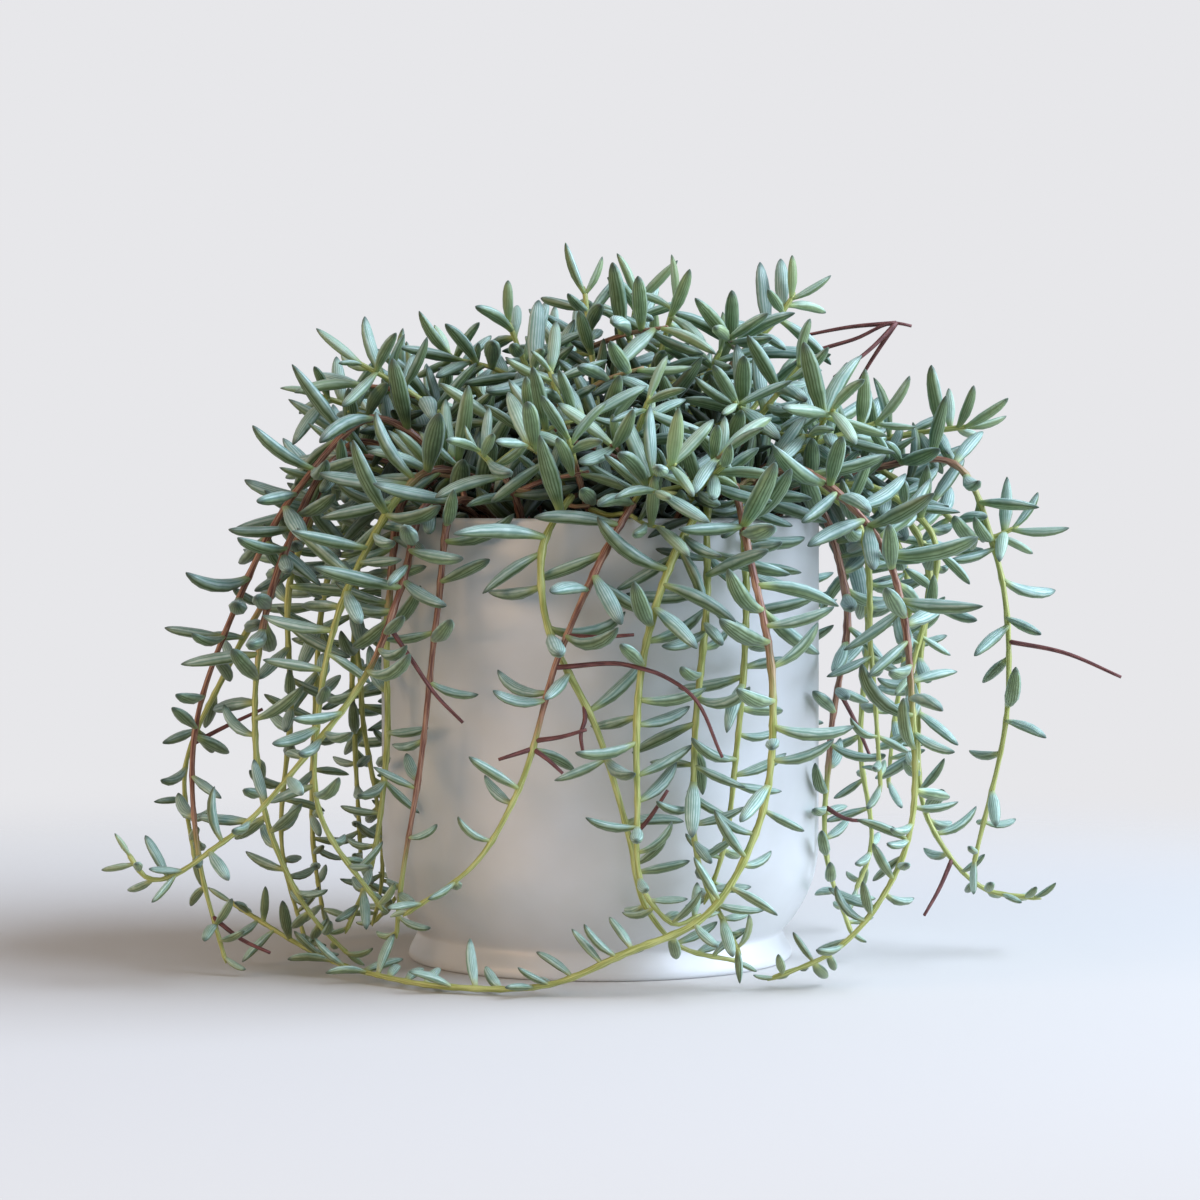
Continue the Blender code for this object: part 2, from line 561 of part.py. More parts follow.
def tube_mesh(line, radii, sides):
    """Points and faces of a closed tube along a line, with flat ends."""
    _, across, beyond = stem_frames(line)
    points = np.vstack([curve_ring(*ring, sides) for ring in zip(line, across, beyond, radii)])
    faces = [tuple(reversed(range(sides)))]
    for k in range(len(line) - 1):
        low = k * sides
        for i in range(sides):
            j = (i + 1) % sides
            faces.append((low + i, low + j, low + sides + j, low + sides + i))
    faces.append(tuple(range(len(points) - sides, len(points))))
    return points, faces


def on_line(line, point):
    """The point of a line of straight runs that is nearest to a given point."""
    runs = np.diff(line, axis=0)
    share = np.clip(((point - line[:-1]) * runs).sum(1) / (runs ** 2).sum(1), 0.0, 1.0)
    feet = line[:-1] + share[:, None] * runs
    return feet[np.linalg.norm(feet - point, axis=1).argmin()]


def leaf_mesh(leaf, trunk, sides):
    """Points and faces of a closed spindle: a root point sunk in the stem, two rings and a tip."""
    shares = np.array([0.0, *RING_SHARES, 1.0])
    axis = blade_axis(leaf["root"], leaf["start"], leaf["bend"], leaf["length"], shares)
    points, _, face, width = axis
    points[0] = on_line(trunk, points[0]) - leaf["start"] * SUNK_ROOT
    angle = 2.0 * math.pi * np.arange(sides) / sides + leaf["roll"]
    rings = [points[0][None]]
    for k, fullness in enumerate(RING_FULLNESS, 1):
        half = leaf["half"] * fullness
        rings.append(points[k] + half * (np.cos(angle)[:, None] * width[k]
                                         + LEAF_FLATNESS * np.sin(angle)[:, None] * face[k]))
    points = np.vstack(rings + [points[3][None]])
    faces = []
    for i in range(sides):
        j = (i + 1) % sides
        faces.append((0, 1 + j, 1 + i))
        faces.append((1 + i, 1 + j, 1 + sides + j, 1 + sides + i))
        faces.append((1 + sides + i, 1 + sides + j, 1 + 2 * sides))
    return points, faces


def clear_scene():
    """Removes what the scene holds."""
    for thing in list(bpy.data.objects):
        bpy.data.objects.remove(thing, do_unlink=True)


def make_material(name, colour, roughness):
    """A plain Principled material of one colour."""
    material = bpy.data.materials.new(name)
    material.use_nodes = True
    shader = material.node_tree.nodes["Principled BSDF"]
    shader.inputs["Base Color"].default_value = (*colour, 1.0)
    shader.inputs["Roughness"].default_value = roughness
    shader.inputs["Metallic"].default_value = 0.0
    material.diffuse_color = (*colour, 1.0)
    return material


def make_object(name, points, faces, material):
    """A mesh object from points in millimetres."""
    mesh = bpy.data.meshes.new(name)
    mesh.from_pydata((np.asarray(points) * MM).tolist(), [], faces)
    mesh.update()
    thing = bpy.data.objects.new(name, mesh)
    bpy.context.scene.collection.objects.link(thing)
    mesh.materials.append(material)
    return thing


def apply_modifiers(thing):
    """Replaces an object's mesh by the one its modifiers give."""
    graph = bpy.context.evaluated_depsgraph_get()
    old = thing.data
    new = bpy.data.meshes.new_from_object(thing.evaluated_get(graph))
    thing.modifiers.clear()
    thing.data = new
    new.name = thing.name
    bpy.data.meshes.remove(old)


def combine(thing, others, operation, solver):
    """Joins other objects to one, or cuts them from it, in one Boolean, and removes them."""
    group = bpy.data.collections.new(thing.name + "_others")
    bpy.context.scene.collection.children.link(group)
    for other in others:
        bpy.context.scene.collection.objects.unlink(other)
        group.objects.link(other)
    modifier = thing.modifiers.new(operation.lower(), "BOOLEAN")
    modifier.operation = operation
    modifier.operand_type = "COLLECTION"
    modifier.collection = group
    modifier.solver = solver
    apply_modifiers(thing)
    for other in others:
        bpy.data.objects.remove(other, do_unlink=True)
    bpy.data.collections.remove(group)


def turn_profile(name, profile, material):
    """A solid turned round the z axis from a closed half outline that runs from axis to axis."""
    angle = 2.0 * math.pi * np.arange(POT_SIDES) / POT_SIDES
    points, rows = [], []
    for radius, height in profile:
        if radius == 0.0:
            rows.append([len(points)])
            points.append((0.0, 0.0, height))
        else:
            rows.append(list(range(len(points), len(points) + POT_SIDES)))
            points += [(radius * math.cos(a), radius * math.sin(a), height) for a in angle]
    faces = []
    for low, high in zip(rows[:-1], rows[1:]):
        for i in range(POT_SIDES):
            j = (i + 1) % POT_SIDES
            ring = [low[i % len(low)], low[j % len(low)], high[j % len(high)], high[i % len(high)]]
            faces.append(tuple(dict.fromkeys(ring)))
    return make_object(name, points, faces, material)


def inner_outline(inset, top):
    """Half outline of the room inside the pot, drawn in by `inset`, from its floor up to `top`."""
    radius = POT_RADIUS - WALL - inset
    corner = INNER_CORNER - inset
    bottom = FLOOR + inset
    bend = [(radius - corner + corner * math.sin(a), bottom + corner - corner * math.cos(a))
            for a in np.linspace(0.0, 0.5 * math.pi, CORNER_STEPS)]
    return [(0.0, bottom)] + bend + [(radius, top)]


def build_pot():
    """The white pot: straight wall, rounded shoulder below, and a low foot that flares out."""
    material = make_material("white_ceramic", POT_COLOUR, 0.45)
    cavity = inner_outline(0.0, POT_HEIGHT - RIM_ROUND)
    profile = pot_outline()[:-1] + cavity[::-1]
    pot = turn_profile("pot", profile, material)
    pot.data.shade_smooth()
    pot.data.set_sharp_from_angle(angle=SMOOTH_ANGLE)
    return pot


def build_soil(stems):
    """The potting soil: a plug that fills the pot, with a plain hole for each stem."""
    material = make_material("potting_soil", SOIL_COLOUR, 0.95)
    profile = inner_outline(FIT_GAP, SOIL_TOP) + [(0.0, SOIL_TOP)]
    soil = turn_profile("soil", profile, material)
    drills = []
    for name, (line, radii) in stems.items():
        centre = line[0] - (0.0, 0.0, FIT_GAP)
        top = centre + (0.0, 0.0, ROOT_DEPTH + HOLE_RISE)
        hole = (radii[0] + FIT_GAP) / math.cos(math.pi / HOLE_SIDES)
        points, faces = tube_mesh(np.array([centre, top]), (hole, hole), HOLE_SIDES)
        drills.append(make_object("hole_" + name, points, faces, material))
    combine(soil, drills, "DIFFERENCE", "EXACT")
    return soil


def build_stem(name, line, radii, twigs, leaves, material):
    """One stem with its leaves and dry twigs, joined into one solid."""
    keep = [0, 1] + [k for k in few_points(line, ROUTE_SLACK) if k > 1]
    trunk = line[keep]
    points, faces = tube_mesh(trunk, radii[keep], STEM_SIDES)
    stem = make_object(name, points, faces, material)
    grown = []
    for k, leaf in enumerate(leaves):
        points, faces = leaf_mesh(leaf, trunk, LEAF_SIDES)
        grown.append(make_object("%s_leaf_%d" % (name, k), points, faces, material))
    for k, twig in enumerate(twigs):
        keep = few_points(twig, ROUTE_SLACK)
        radii = np.linspace(TWIG_RADIUS, TWIG_TIP, len(twig))[keep]
        points, faces = tube_mesh(twig[keep], radii, TWIG_SIDES)
        grown.append(make_object("%s_twig_%d" % (name, k), points, faces, material))
    if grown:
        combine(stem, grown, "UNION", "MANIFOLD")
    return stem


def build_plant(stems):
    """All stems with their leaves and twigs."""
    twigs = side_lines(stems, TWIGS, (TWIG_RADIUS, TWIG_TIP))
    leaves = grow_leaves(stems, twigs)
    for name, (line, radii) in stems.items():
        colour = CROWN_COLOUR if name.startswith("shoot") else TRAILING_COLOUR
        material = make_material("succulent_" + name, colour, 0.5)
        own = [leaf for leaf in leaves if leaf["stem"] == name]
        build_stem(name, line, radii, twigs.get(name, []), own, material)


clear_scene()
ALL_STEMS = grow_stems()
build_pot()
build_soil(ALL_STEMS)
build_plant(ALL_STEMS)
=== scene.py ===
# %% [markdown]
# Potted string of fishhooks, a trailing succulent with hooked, waxy leaves.
# The solids of the pot, the soil and every stem are loaded first. They fix all sizes and places.
# What follows dresses them: each solid is replaced by a finer surface of the same form.
# Sizes are written in millimetres and turned to metres when a mesh is made.

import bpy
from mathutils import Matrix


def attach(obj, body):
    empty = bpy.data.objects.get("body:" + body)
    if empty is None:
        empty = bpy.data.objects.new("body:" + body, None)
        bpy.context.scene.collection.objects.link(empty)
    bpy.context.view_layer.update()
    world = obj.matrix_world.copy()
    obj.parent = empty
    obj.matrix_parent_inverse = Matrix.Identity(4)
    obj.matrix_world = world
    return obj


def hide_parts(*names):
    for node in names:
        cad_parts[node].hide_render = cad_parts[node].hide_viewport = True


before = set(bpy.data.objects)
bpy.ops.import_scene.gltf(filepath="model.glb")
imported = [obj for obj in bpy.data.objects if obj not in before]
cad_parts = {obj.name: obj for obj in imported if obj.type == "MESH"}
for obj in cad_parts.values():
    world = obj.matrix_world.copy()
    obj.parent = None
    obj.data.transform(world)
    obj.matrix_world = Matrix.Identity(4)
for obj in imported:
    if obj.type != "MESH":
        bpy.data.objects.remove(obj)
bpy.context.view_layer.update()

import math

import bpy
import numpy as np

MM = 0.001

# %% [markdown]
# A camera is a focal length, a place and a direction. The photograph was taken from straight in
# front, a little above the rim, with hardly any perspective, so the lens is long. The focal
# length in pixels over the picture's width in pixels gives the lens for any sensor width.

# %% Camera
PHOTO_SIDE = 1200
PHOTO_FOCUS = 3432.0
SENSOR_WIDTH = 36.0
CAMERA_DISTANCE = 1100.0
CAMERA_HEIGHT = 152.0
LOOK_DOWN = 1.97

lens = bpy.data.cameras.new("front_camera")
lens.sensor_width = SENSOR_WIDTH
lens.lens = PHOTO_FOCUS / PHOTO_SIDE * SENSOR_WIDTH
camera = bpy.data.objects.new("front_camera", lens)
camera.location = (0.0, -CAMERA_DISTANCE * MM, CAMERA_HEIGHT * MM)
camera.rotation_euler = (math.radians(90.0 - LOOK_DOWN), 0.0, 0.0)
bpy.context.scene.collection.objects.link(camera)
bpy.context.scene.camera = camera
print("lens", round(lens.lens, 2), "mm")

# %% [markdown]
# A few small helpers come before the materials. Colours are picked as sRGB hex values, as on a
# screen, while a shader adds up light, so each value is turned to linear once, in one place.
# Nodes can be placed by hand in the editor. In code one function that sets values and makes
# links keeps a material readable from its first texture down to its shader.

# %% Colour and node helpers
def colour(hex_value):
    """sRGB hex to linear RGBA: c / 12.92 below 0.04045, else ((c + 0.055) / 1.055) ** 2.4."""
    channels = [int(hex_value[k:k + 2], 16) / 255.0 for k in (1, 3, 5)]
    linear = [c / 12.92 if c <= 0.04045 else ((c + 0.055) / 1.055) ** 2.4 for c in channels]
    return (*linear, 1.0)


def add_node(tree, kind, inputs=None, **settings):
    """Adds a node with its settings. An input is a number, a colour or an output to link."""
    made = tree.nodes.new(kind)
    for name, value in settings.items():
        setattr(made, name, value)
    for name, value in (inputs or {}).items():
        if isinstance(value, bpy.types.NodeSocket):
            tree.links.new(value, made.inputs[name])
        else:
            made.inputs[name].default_value = value
    return made


def new_material(name):
    """An empty node material, its node tree and its shader, already joined to the output."""
    material = bpy.data.materials.new(name)
    material.use_nodes = True
    tree = material.node_tree
    tree.nodes.clear()
    shader = add_node(tree, "ShaderNodeBsdfPrincipled")
    add_node(tree, "ShaderNodeOutputMaterial", {"Surface": shader.outputs["BSDF"]})
    return material, tree, shader


print("helpers ready, mid grey is", round(colour("#808080")[0], 3))

# %% [markdown]
# Most materials here use the same few steps: a noise, a change of range, a blend of two colours
# and a bump. Written once, each step is one short line in a material.

# %% Steps of a material
def noise(tree, place, size, detail):
    """Smooth noise about 0.5, with features of about the given size, in the units of place."""
    return add_node(tree, "ShaderNodeTexNoise", {
        "Vector": place, "Scale": 1.0 / size, "Detail": detail}).outputs["Fac"]


def remap(tree, value, start, end, low=0.0, high=1.0, curve="LINEAR"):
    """The value, with the range from start to end turned to low to high and kept inside it."""
    return add_node(tree, "ShaderNodeMapRange", {
        "Value": value, "From Min": start, "From Max": end, "To Min": low, "To Max": high},
        interpolation_type=curve).outputs["Result"]


def maths(tree, operation, *values):
    """One operation on one to three values."""
    return add_node(tree, "ShaderNodeMath", dict(enumerate(values)), operation=operation).outputs[0]


def blend(tree, share, low, high):
    """The low colour where the share is 0, the high one where it is 1. Each may be a hex value."""
    low, high = (colour(c) if isinstance(c, str) else c for c in (low, high))
    return add_node(tree, "ShaderNodeMix", {
        "Factor": share, 6: low, 7: high}, data_type="RGBA").outputs[2]


def carried(tree, name):
    """The vector that a piece carries on its points under this name."""
    return add_node(tree, "ShaderNodeAttribute", attribute_name=name).outputs["Vector"]


def parts_of(tree, vector):
    """The three values of a vector, as outputs X, Y and Z."""
    return add_node(tree, "ShaderNodeSeparateXYZ", {0: vector}).outputs


def stretch(tree, vector, factors):
    """A vector times three factors."""
    return add_node(tree, "ShaderNodeVectorMath", {
        0: vector, 1: factors}, operation="MULTIPLY").outputs[0]


def add_relief(tree, shader, height, strength, depth):
    """Bumps a surface by a height of 0 to 1 that stands for a depth in millimetres."""
    bump = add_node(tree, "ShaderNodeBump", {
        "Height": height, "Strength": strength, "Distance": depth * MM})
    tree.links.new(bump.outputs["Normal"], shader.inputs["Normal"])


print("steps ready")

# %% [markdown]
# The studio is a pale floor under an even, pale sky. A floor with an edge would show a horizon
# behind the plant. Fading its material out with the distance from the pot lets floor and
# background run into each other from every side.

# %% Studio floor
FLOOR_RADIUS = 3000.0
FLOOR_SIDES = 96
FADE_FROM = 150.0
FADE_TO = 700.0
FLOOR_COLOUR = "#D2D0CD"

scene = bpy.context.scene
scene.view_settings.view_transform = "Standard"
scene.view_settings.look = "None"

angles = np.linspace(0.0, 2.0 * math.pi, FLOOR_SIDES, endpoint=False)
rim = np.stack([np.cos(angles), np.sin(angles), 0.0 * angles], axis=1) * FLOOR_RADIUS * MM
floor_mesh = bpy.data.meshes.new("studio_floor")
floor_mesh.from_pydata(rim.tolist(), [], [tuple(range(len(rim)))])
floor = bpy.data.objects.new("studio_floor", floor_mesh)
scene.collection.objects.link(floor)

paint, tree, shader = new_material("matt_floor_paint")
shader.inputs["Base Color"].default_value = colour(FLOOR_COLOUR)
shader.inputs["Roughness"].default_value = 0.9
place = add_node(tree, "ShaderNodeTexCoord").outputs["Object"]
distance = add_node(tree, "ShaderNodeVectorMath", {0: place}, operation="LENGTH").outputs["Value"]
fade = remap(tree, distance, FADE_FROM * MM, FADE_TO * MM, 1.0, 0.0, "SMOOTHERSTEP")
tree.links.new(fade, shader.inputs["Alpha"])
floor_mesh.materials.append(paint)
print("floor", FLOOR_COLOUR)

# %% [markdown]
# One large cool light stands at the right, a little in front, and a weak warm one at the left,
# as daylight from a window and its echo from a room. A sky alone would leave the plant without
# highlights. The sky lights the plant less than it shows behind it, so that shadows stay visible.

# %% Studio light
BACKDROP = "#E7E7EA"
SKY_LIGHT = 0.41

world = bpy.data.worlds.new("studio")
scene.world = world
world.use_nodes = True
sky = world.node_tree
sky.nodes.clear()
seen = add_node(sky, "ShaderNodeBackground", {"Color": colour(BACKDROP), "Strength": 1.0})
lit = add_node(sky, "ShaderNodeBackground", {"Color": colour(BACKDROP), "Strength": SKY_LIGHT})
path = add_node(sky, "ShaderNodeLightPath")
both = add_node(sky, "ShaderNodeMixShader", {
    0: path.outputs["Is Camera Ray"], 1: lit.outputs[0], 2: seen.outputs[0]})
add_node(sky, "ShaderNodeOutputWorld", {"Surface": both.outputs[0]})


def add_softbox(name, place, aim, side, power, tint):
    """A square area light, with place, aim and side in millimetres, turned to face its aim."""
    lamp = bpy.data.lights.new(name, "AREA")
    lamp.size = side * MM
    lamp.energy = power
    lamp.color = colour(tint)[:3]
    box = bpy.data.objects.new(name, lamp)
    way = np.subtract(aim, place)
    box.location = np.multiply(place, MM)
    yaw = math.atan2(way[1], way[0]) - 0.5 * math.pi
    tilt = math.atan2(math.hypot(way[0], way[1]), -way[2])
    box.rotation_euler = (tilt, 0.0, yaw)
    scene.collection.objects.link(box)


add_softbox("window_light", (1780.0, -330.0, 1300.0), (0.0, 0.0, 120.0), 2500.0, 130.0, "#DCEAFF")
add_softbox("room_light", (-1300.0, -800.0, 500.0), (0.0, 0.0, 100.0), 900.0, 9.0, "#FFD0A0")
print("backdrop", BACKDROP)

# %% [markdown]
# Every new piece is a surface worked out as whole arrays: a grid of points in two parameters.
# One helper turns points and faces into a mesh object, and carries named values for each point,
# so that a material can follow the surface.

# %% Mesh helpers
def make_piece(name, points, faces, materials, material_of_face=None, values=None):
    """A smooth mesh object from points in millimetres.

    Values map a name to one vector for each point, which a material can read.
    """
    mesh = bpy.data.meshes.new(name)
    mesh.from_pydata((points * MM).tolist(), [], faces)
    for material in materials:
        mesh.materials.append(material)
    if material_of_face is not None:
        mesh.polygons.foreach_set("material_index", np.asarray(material_of_face, np.int32))
    for label, vectors in (values or {}).items():
        layer = mesh.attributes.new(label, "FLOAT_VECTOR", "POINT")
        layer.data.foreach_set("vector", np.asarray(vectors, np.float32).ravel())
    mesh.shade_smooth()
    mesh.update()
    piece = bpy.data.objects.new(name, mesh)
    scene.collection.objects.link(piece)
    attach(piece, "root")
    return piece


def grid_faces(rows, columns, start=0):
    """Faces of a grid that closes on itself across: rows of points run along it."""
    row, column = np.meshgrid(np.arange(rows - 1), np.arange(columns), indexing="ij")
    after = (column + 1) % columns
    corners = [row * columns + column, row * columns + after,
               (row + 1) * columns + after, (row + 1) * columns + column]
    return np.stack(corners, axis=-1).reshape(-1, 4) + start


def fan_faces(ring, pole, flip):
    """Triangles that close a ring of points at a pole."""
    after = np.roll(ring, -1)
    poles = np.full_like(ring, pole)
    return np.stack([after, ring, poles] if flip else [ring, after, poles], axis=-1)


print("faces of a closed band of 8", len(grid_faces(2, 8)))

# %% [markdown]
# Nothing handmade or grown is quite even, and forms run into each other without a crease. Noise
# textures and brushes could do that on finished meshes. Two formulas on arrays do it while the
# points are made: a smooth step for a gentle change, and a sum of sines for soft unevenness.

# %% Smooth change and unevenness
RIPPLE_SINES = 12
RIPPLE_SPREAD = (0.7, 1.6)


def smooth_step(x):
    """0 below 0, 1 above 1 and 3x^2 - 2x^3 between."""
    x = np.clip(x, 0.0, 1.0)
    return x * x * (3.0 - 2.0 * x)


def ripple(points, waves, seed):
    """Smooth seeded noise, about -1 to 1, with waves of about the given length.

    A sum of sines sin(way . point + phase), with each way and phase drawn at random, over a third
    of their number.
    """
    draw = np.random.default_rng(seed)
    total = np.zeros(points.shape[:-1])
    for _ in range(RIPPLE_SINES):
        way = draw.normal(size=points.shape[-1])
        way *= 2.0 * math.pi / (waves * draw.uniform(*RIPPLE_SPREAD)) / np.linalg.norm(way)
        total += np.sin(points @ way + draw.uniform(0.0, 2.0 * math.pi))
    return 3.0 * total / RIPPLE_SINES


print("half way up a smooth step", smooth_step(0.5))

# %% [markdown]
# The pot is slip-cast stoneware with a satin glaze. A cast pot is round, but never perfectly so:
# its wall waves by about a tenth of a millimetre, and glaze softens each edge. A modelled
# cylinder with bevels could do. A turned profile is shorter and gives the shoulder, the waist and
# the flared foot as arcs from the same sizes as the solid.

# %% Pot outline
POT_RADIUS = 70.0
POT_HEIGHT = 141.0
WALL = 5.0
POT_FLOOR = 8.0
RIM_ROUND = 1.5
SHOULDER_HEIGHT = 37.0
SHOULDER_RADIUS = 40.0
FOOT_HEIGHT = 9.0
FOOT_RADIUS = 61.5
FOOT_ROUND = 1.2
INNER_CORNER = 30.0
SOIL_TOP = 132.0
FIT_GAP = 0.3
BASE_RINGS = (0.4, 0.85)
WALL_RINGS = 24


def arc(centre, radius, start, end, steps):
    """Points on a circle: centre + radius * (cos a, sin a), for steps of a from start to end."""
    angle = np.linspace(start, end, steps)
    return np.asarray(centre) + radius * np.stack([np.cos(angle), np.sin(angle)], axis=1)


def pot_profile():
    """Closed half outline of the pot, from the axis below its foot round to the axis inside."""
    low = math.asin((SHOULDER_HEIGHT - FOOT_HEIGHT) / SHOULDER_RADIUS)
    waist = POT_RADIUS - SHOULDER_RADIUS + SHOULDER_RADIUS * math.cos(low)
    foot = arc((FOOT_RADIUS - FOOT_ROUND, FOOT_ROUND), FOOT_ROUND, -0.5 * math.pi, 0.0, 6)
    flare = np.linspace(0.0, 1.0, 8)[1:, None]
    flare = np.hstack([FOOT_RADIUS + (waist - FOOT_RADIUS) * smooth_step(flare),
                       FOOT_ROUND + (FOOT_HEIGHT - FOOT_ROUND) * flare])
    shoulder = arc((POT_RADIUS - SHOULDER_RADIUS, SHOULDER_HEIGHT),
                   SHOULDER_RADIUS, -low, 0.0, 18)[1:]
    edge = POT_HEIGHT - RIM_ROUND
    wall = np.linspace((POT_RADIUS, SHOULDER_HEIGHT), (POT_RADIUS, edge), WALL_RINGS + 2)[1:-1]
    outer = arc((POT_RADIUS - RIM_ROUND, edge), RIM_ROUND, 0.0, 0.5 * math.pi, 7)
    inner = arc((POT_RADIUS - WALL + RIM_ROUND, edge), RIM_ROUND, 0.5 * math.pi, math.pi, 7)
    corner = (POT_RADIUS - WALL - INNER_CORNER, POT_FLOOR + INNER_CORNER)
    bowl = arc(corner, INNER_CORNER, 0.0, -0.5 * math.pi, 12)
    base = np.array([(share * FOOT_RADIUS, 0.0) for share in BASE_RINGS])
    return np.vstack([base, foot, flare, shoulder, wall, outer, inner, bowl])


print("pot profile", len(pot_profile()), "points")

# %% [markdown]
# A potter's wheel, or a mould that was made on one, gives the round form. The outline is turned
# in the same way. A pole closes it under the foot and another one inside.

# %% Turned pot
POT_TURNS = 192
POT_WOBBLE = 0.10
WOBBLE_WAVE = 60.0
WOBBLE_FLATTER = 0.35
WOBBLE_SEED = 5


def turned(profile, turns, low_pole, high_pole):
    """Points and faces of a profile turned round the z axis, closed at two points on the axis."""
    angle = 2.0 * math.pi * np.arange(turns) / turns
    ring = np.stack([np.cos(angle), np.sin(angle)], axis=1)
    points = np.concatenate([profile[:, None, :1] * ring[None], np.broadcast_to(
        profile[:, None, 1:], (len(profile), turns, 1))], axis=2).reshape(-1, 3)
    low, high = len(points), len(points) + 1
    faces = grid_faces(len(profile), turns).tolist()
    faces += fan_faces(np.arange(turns), low, True).tolist()
    faces += fan_faces(np.arange(turns) + turns * (len(profile) - 1), high, False).tolist()
    points = np.vstack([points, [(0.0, 0.0, low_pole), (0.0, 0.0, high_pole)]])
    return points, faces


pot_points, pot_faces = turned(pot_profile(), POT_TURNS, 0.0, POT_FLOOR)
upright_waves = ripple(pot_points * (1.0, 1.0, WOBBLE_FLATTER), WOBBLE_WAVE, WOBBLE_SEED)
wobble = POT_WOBBLE * upright_waves * (pot_points[:, 2] > FOOT_ROUND)
pot_points[:, :2] *= 1.0 + (wobble / POT_RADIUS)[:, None]
print("pot faces", len(pot_faces))

# %% [markdown]
# Satin glaze: a white clay body under a thin milky glass, fired so that it is neither glossy nor
# matt. To the eye that means a soft highlight, a faint mottle where the glaze lies thicker, and
# a slightly uneven skin. Clay tones vary over centimetres, the skin over a few millimetres.

# %% Satin glaze
GLAZE = "#DCDFE2"
GLAZE_THIN = "#CFD1D0"
GLAZE_CLOUD = 38.0
GLAZE_SKIN = 4.5

glaze, tree, shader = new_material("satin_glazed_stoneware")
place = add_node(tree, "ShaderNodeTexCoord").outputs["Object"]
cloud = noise(tree, place, GLAZE_CLOUD * MM, 3.0)
body = blend(tree, remap(tree, cloud, 0.35, 0.7), GLAZE, GLAZE_THIN)
tree.links.new(body, shader.inputs["Base Color"])
rough = remap(tree, cloud, 0.3, 0.7, 0.34, 0.46)
tree.links.new(rough, shader.inputs["Roughness"])
add_relief(tree, shader, noise(tree, place, GLAZE_SKIN * MM, 2.0), 0.25, 0.08)
shader.inputs["IOR"].default_value = 1.5
shader.inputs["Coat Weight"].default_value = 0.5
shader.inputs["Coat Roughness"].default_value = 0.26

pot = make_piece("glazed_pot", pot_points, pot_faces, [glaze])
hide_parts("pot")
print("pot triangles", 2 * len(pot_faces))

# %% [markdown]
# Potting soil for succulents is peat with bark and a little grit. It settles lower at the wall
# than in the middle. A flat disc would show as a lid between the stems, so its top gets waves.

# %% Soil surface
SOIL_TURNS = 96
SOIL_RINGS = 40
SOIL_MIDDLE = 0.8
BROAD_WAVE = (0.6, 26.0)
FINE_WAVE = (0.4, 9.0)
WAVE_SEEDS = (11, 12)
SINKS_FROM = 54.0
SINKS_BY = 1.2


def soil_height(flat):
    """Height of the soil's surface: its level, with broad and fine waves, lower at the wall."""
    edge = np.linalg.norm(flat, axis=-1) - SINKS_FROM
    broad = BROAD_WAVE[0] * ripple(flat, BROAD_WAVE[1], WAVE_SEEDS[0])
    fine = FINE_WAVE[0] * ripple(flat, FINE_WAVE[1], WAVE_SEEDS[1])
    return SOIL_TOP + broad + fine - SINKS_BY * smooth_step(edge / (POT_RADIUS - WALL - SINKS_FROM))


soil_radius = POT_RADIUS - WALL - FIT_GAP
soil_corner = INNER_CORNER - FIT_GAP
soil_floor = POT_FLOOR + FIT_GAP
wall_part = arc((soil_radius - soil_corner, soil_floor + soil_corner),
                soil_corner, -0.5 * math.pi, 0.0, 10)
top_part = np.linspace((soil_radius, SOIL_TOP), (SOIL_MIDDLE, SOIL_TOP), SOIL_RINGS)
soil_points, soil_faces = turned(np.vstack([wall_part, top_part]), SOIL_TURNS, soil_floor, SOIL_TOP)
on_top = soil_points[:, 2] > SOIL_TOP - 1.0
soil_points[on_top, 2] = soil_height(soil_points[on_top, :2])
print("soil faces", len(soil_faces))

# %% [markdown]
# Loose crumbs of bark and grit cover the soil. A displaced disc alone looks like a rug, so
# several hundred small, rough lumps are sunk into it. Each is an icosahedron, twelve corners and
# twenty faces, with its corners pushed in and out and its sides squashed. Small ones are common.

# %% Crumbs
CRUMBS = 900
CRUMB_SIZES = (0.8, 3.2)
SMALL_ONES = 2.5
CORNER_REACH = (0.55, 1.1)
SQUASH = (0.5, 1.3)
CRUMB_TONES = (0.2, 1.0)
CRUMB_INSET = 3.0
CRUMB_RISE = 0.2
CRUMB_SEED = 17

gold = 0.5 * (1.0 + math.sqrt(5.0))
lump = np.array([(-1, gold, 0), (1, gold, 0), (-1, -gold, 0), (1, -gold, 0),
                 (0, -1, gold), (0, 1, gold), (0, -1, -gold), (0, 1, -gold),
                 (gold, 0, -1), (gold, 0, 1), (-gold, 0, -1), (-gold, 0, 1)])
lump = lump / np.linalg.norm(lump[0])
lump_faces = np.array([(0, 11, 5), (0, 5, 1), (0, 1, 7), (0, 7, 10), (0, 10, 11),
                       (1, 5, 9), (5, 11, 4), (11, 10, 2), (10, 7, 6), (7, 1, 8),
                       (3, 9, 4), (3, 4, 2), (3, 2, 6), (3, 6, 8), (3, 8, 9),
                       (4, 9, 5), (2, 4, 11), (6, 2, 10), (8, 6, 7), (9, 8, 1)])
draw = np.random.default_rng(CRUMB_SEED)
crumb_turn = draw.uniform(0.0, 2.0 * math.pi, CRUMBS)
crumb_reach = (soil_radius - CRUMB_INSET) * np.sqrt(draw.uniform(0.0, 1.0, CRUMBS))
crumb_flat = np.stack([np.cos(crumb_turn), np.sin(crumb_turn)], axis=1) * crumb_reach[:, None]
small = draw.uniform(0.0, 1.0, CRUMBS) ** SMALL_ONES
crumb_size = CRUMB_SIZES[0] + (CRUMB_SIZES[1] - CRUMB_SIZES[0]) * small
crumb_form = crumb_size[:, None, None] * lump * draw.uniform(*CORNER_REACH, (CRUMBS, len(lump), 1))
crumb_form = crumb_form * draw.uniform(*SQUASH, (CRUMBS, 1, 3))
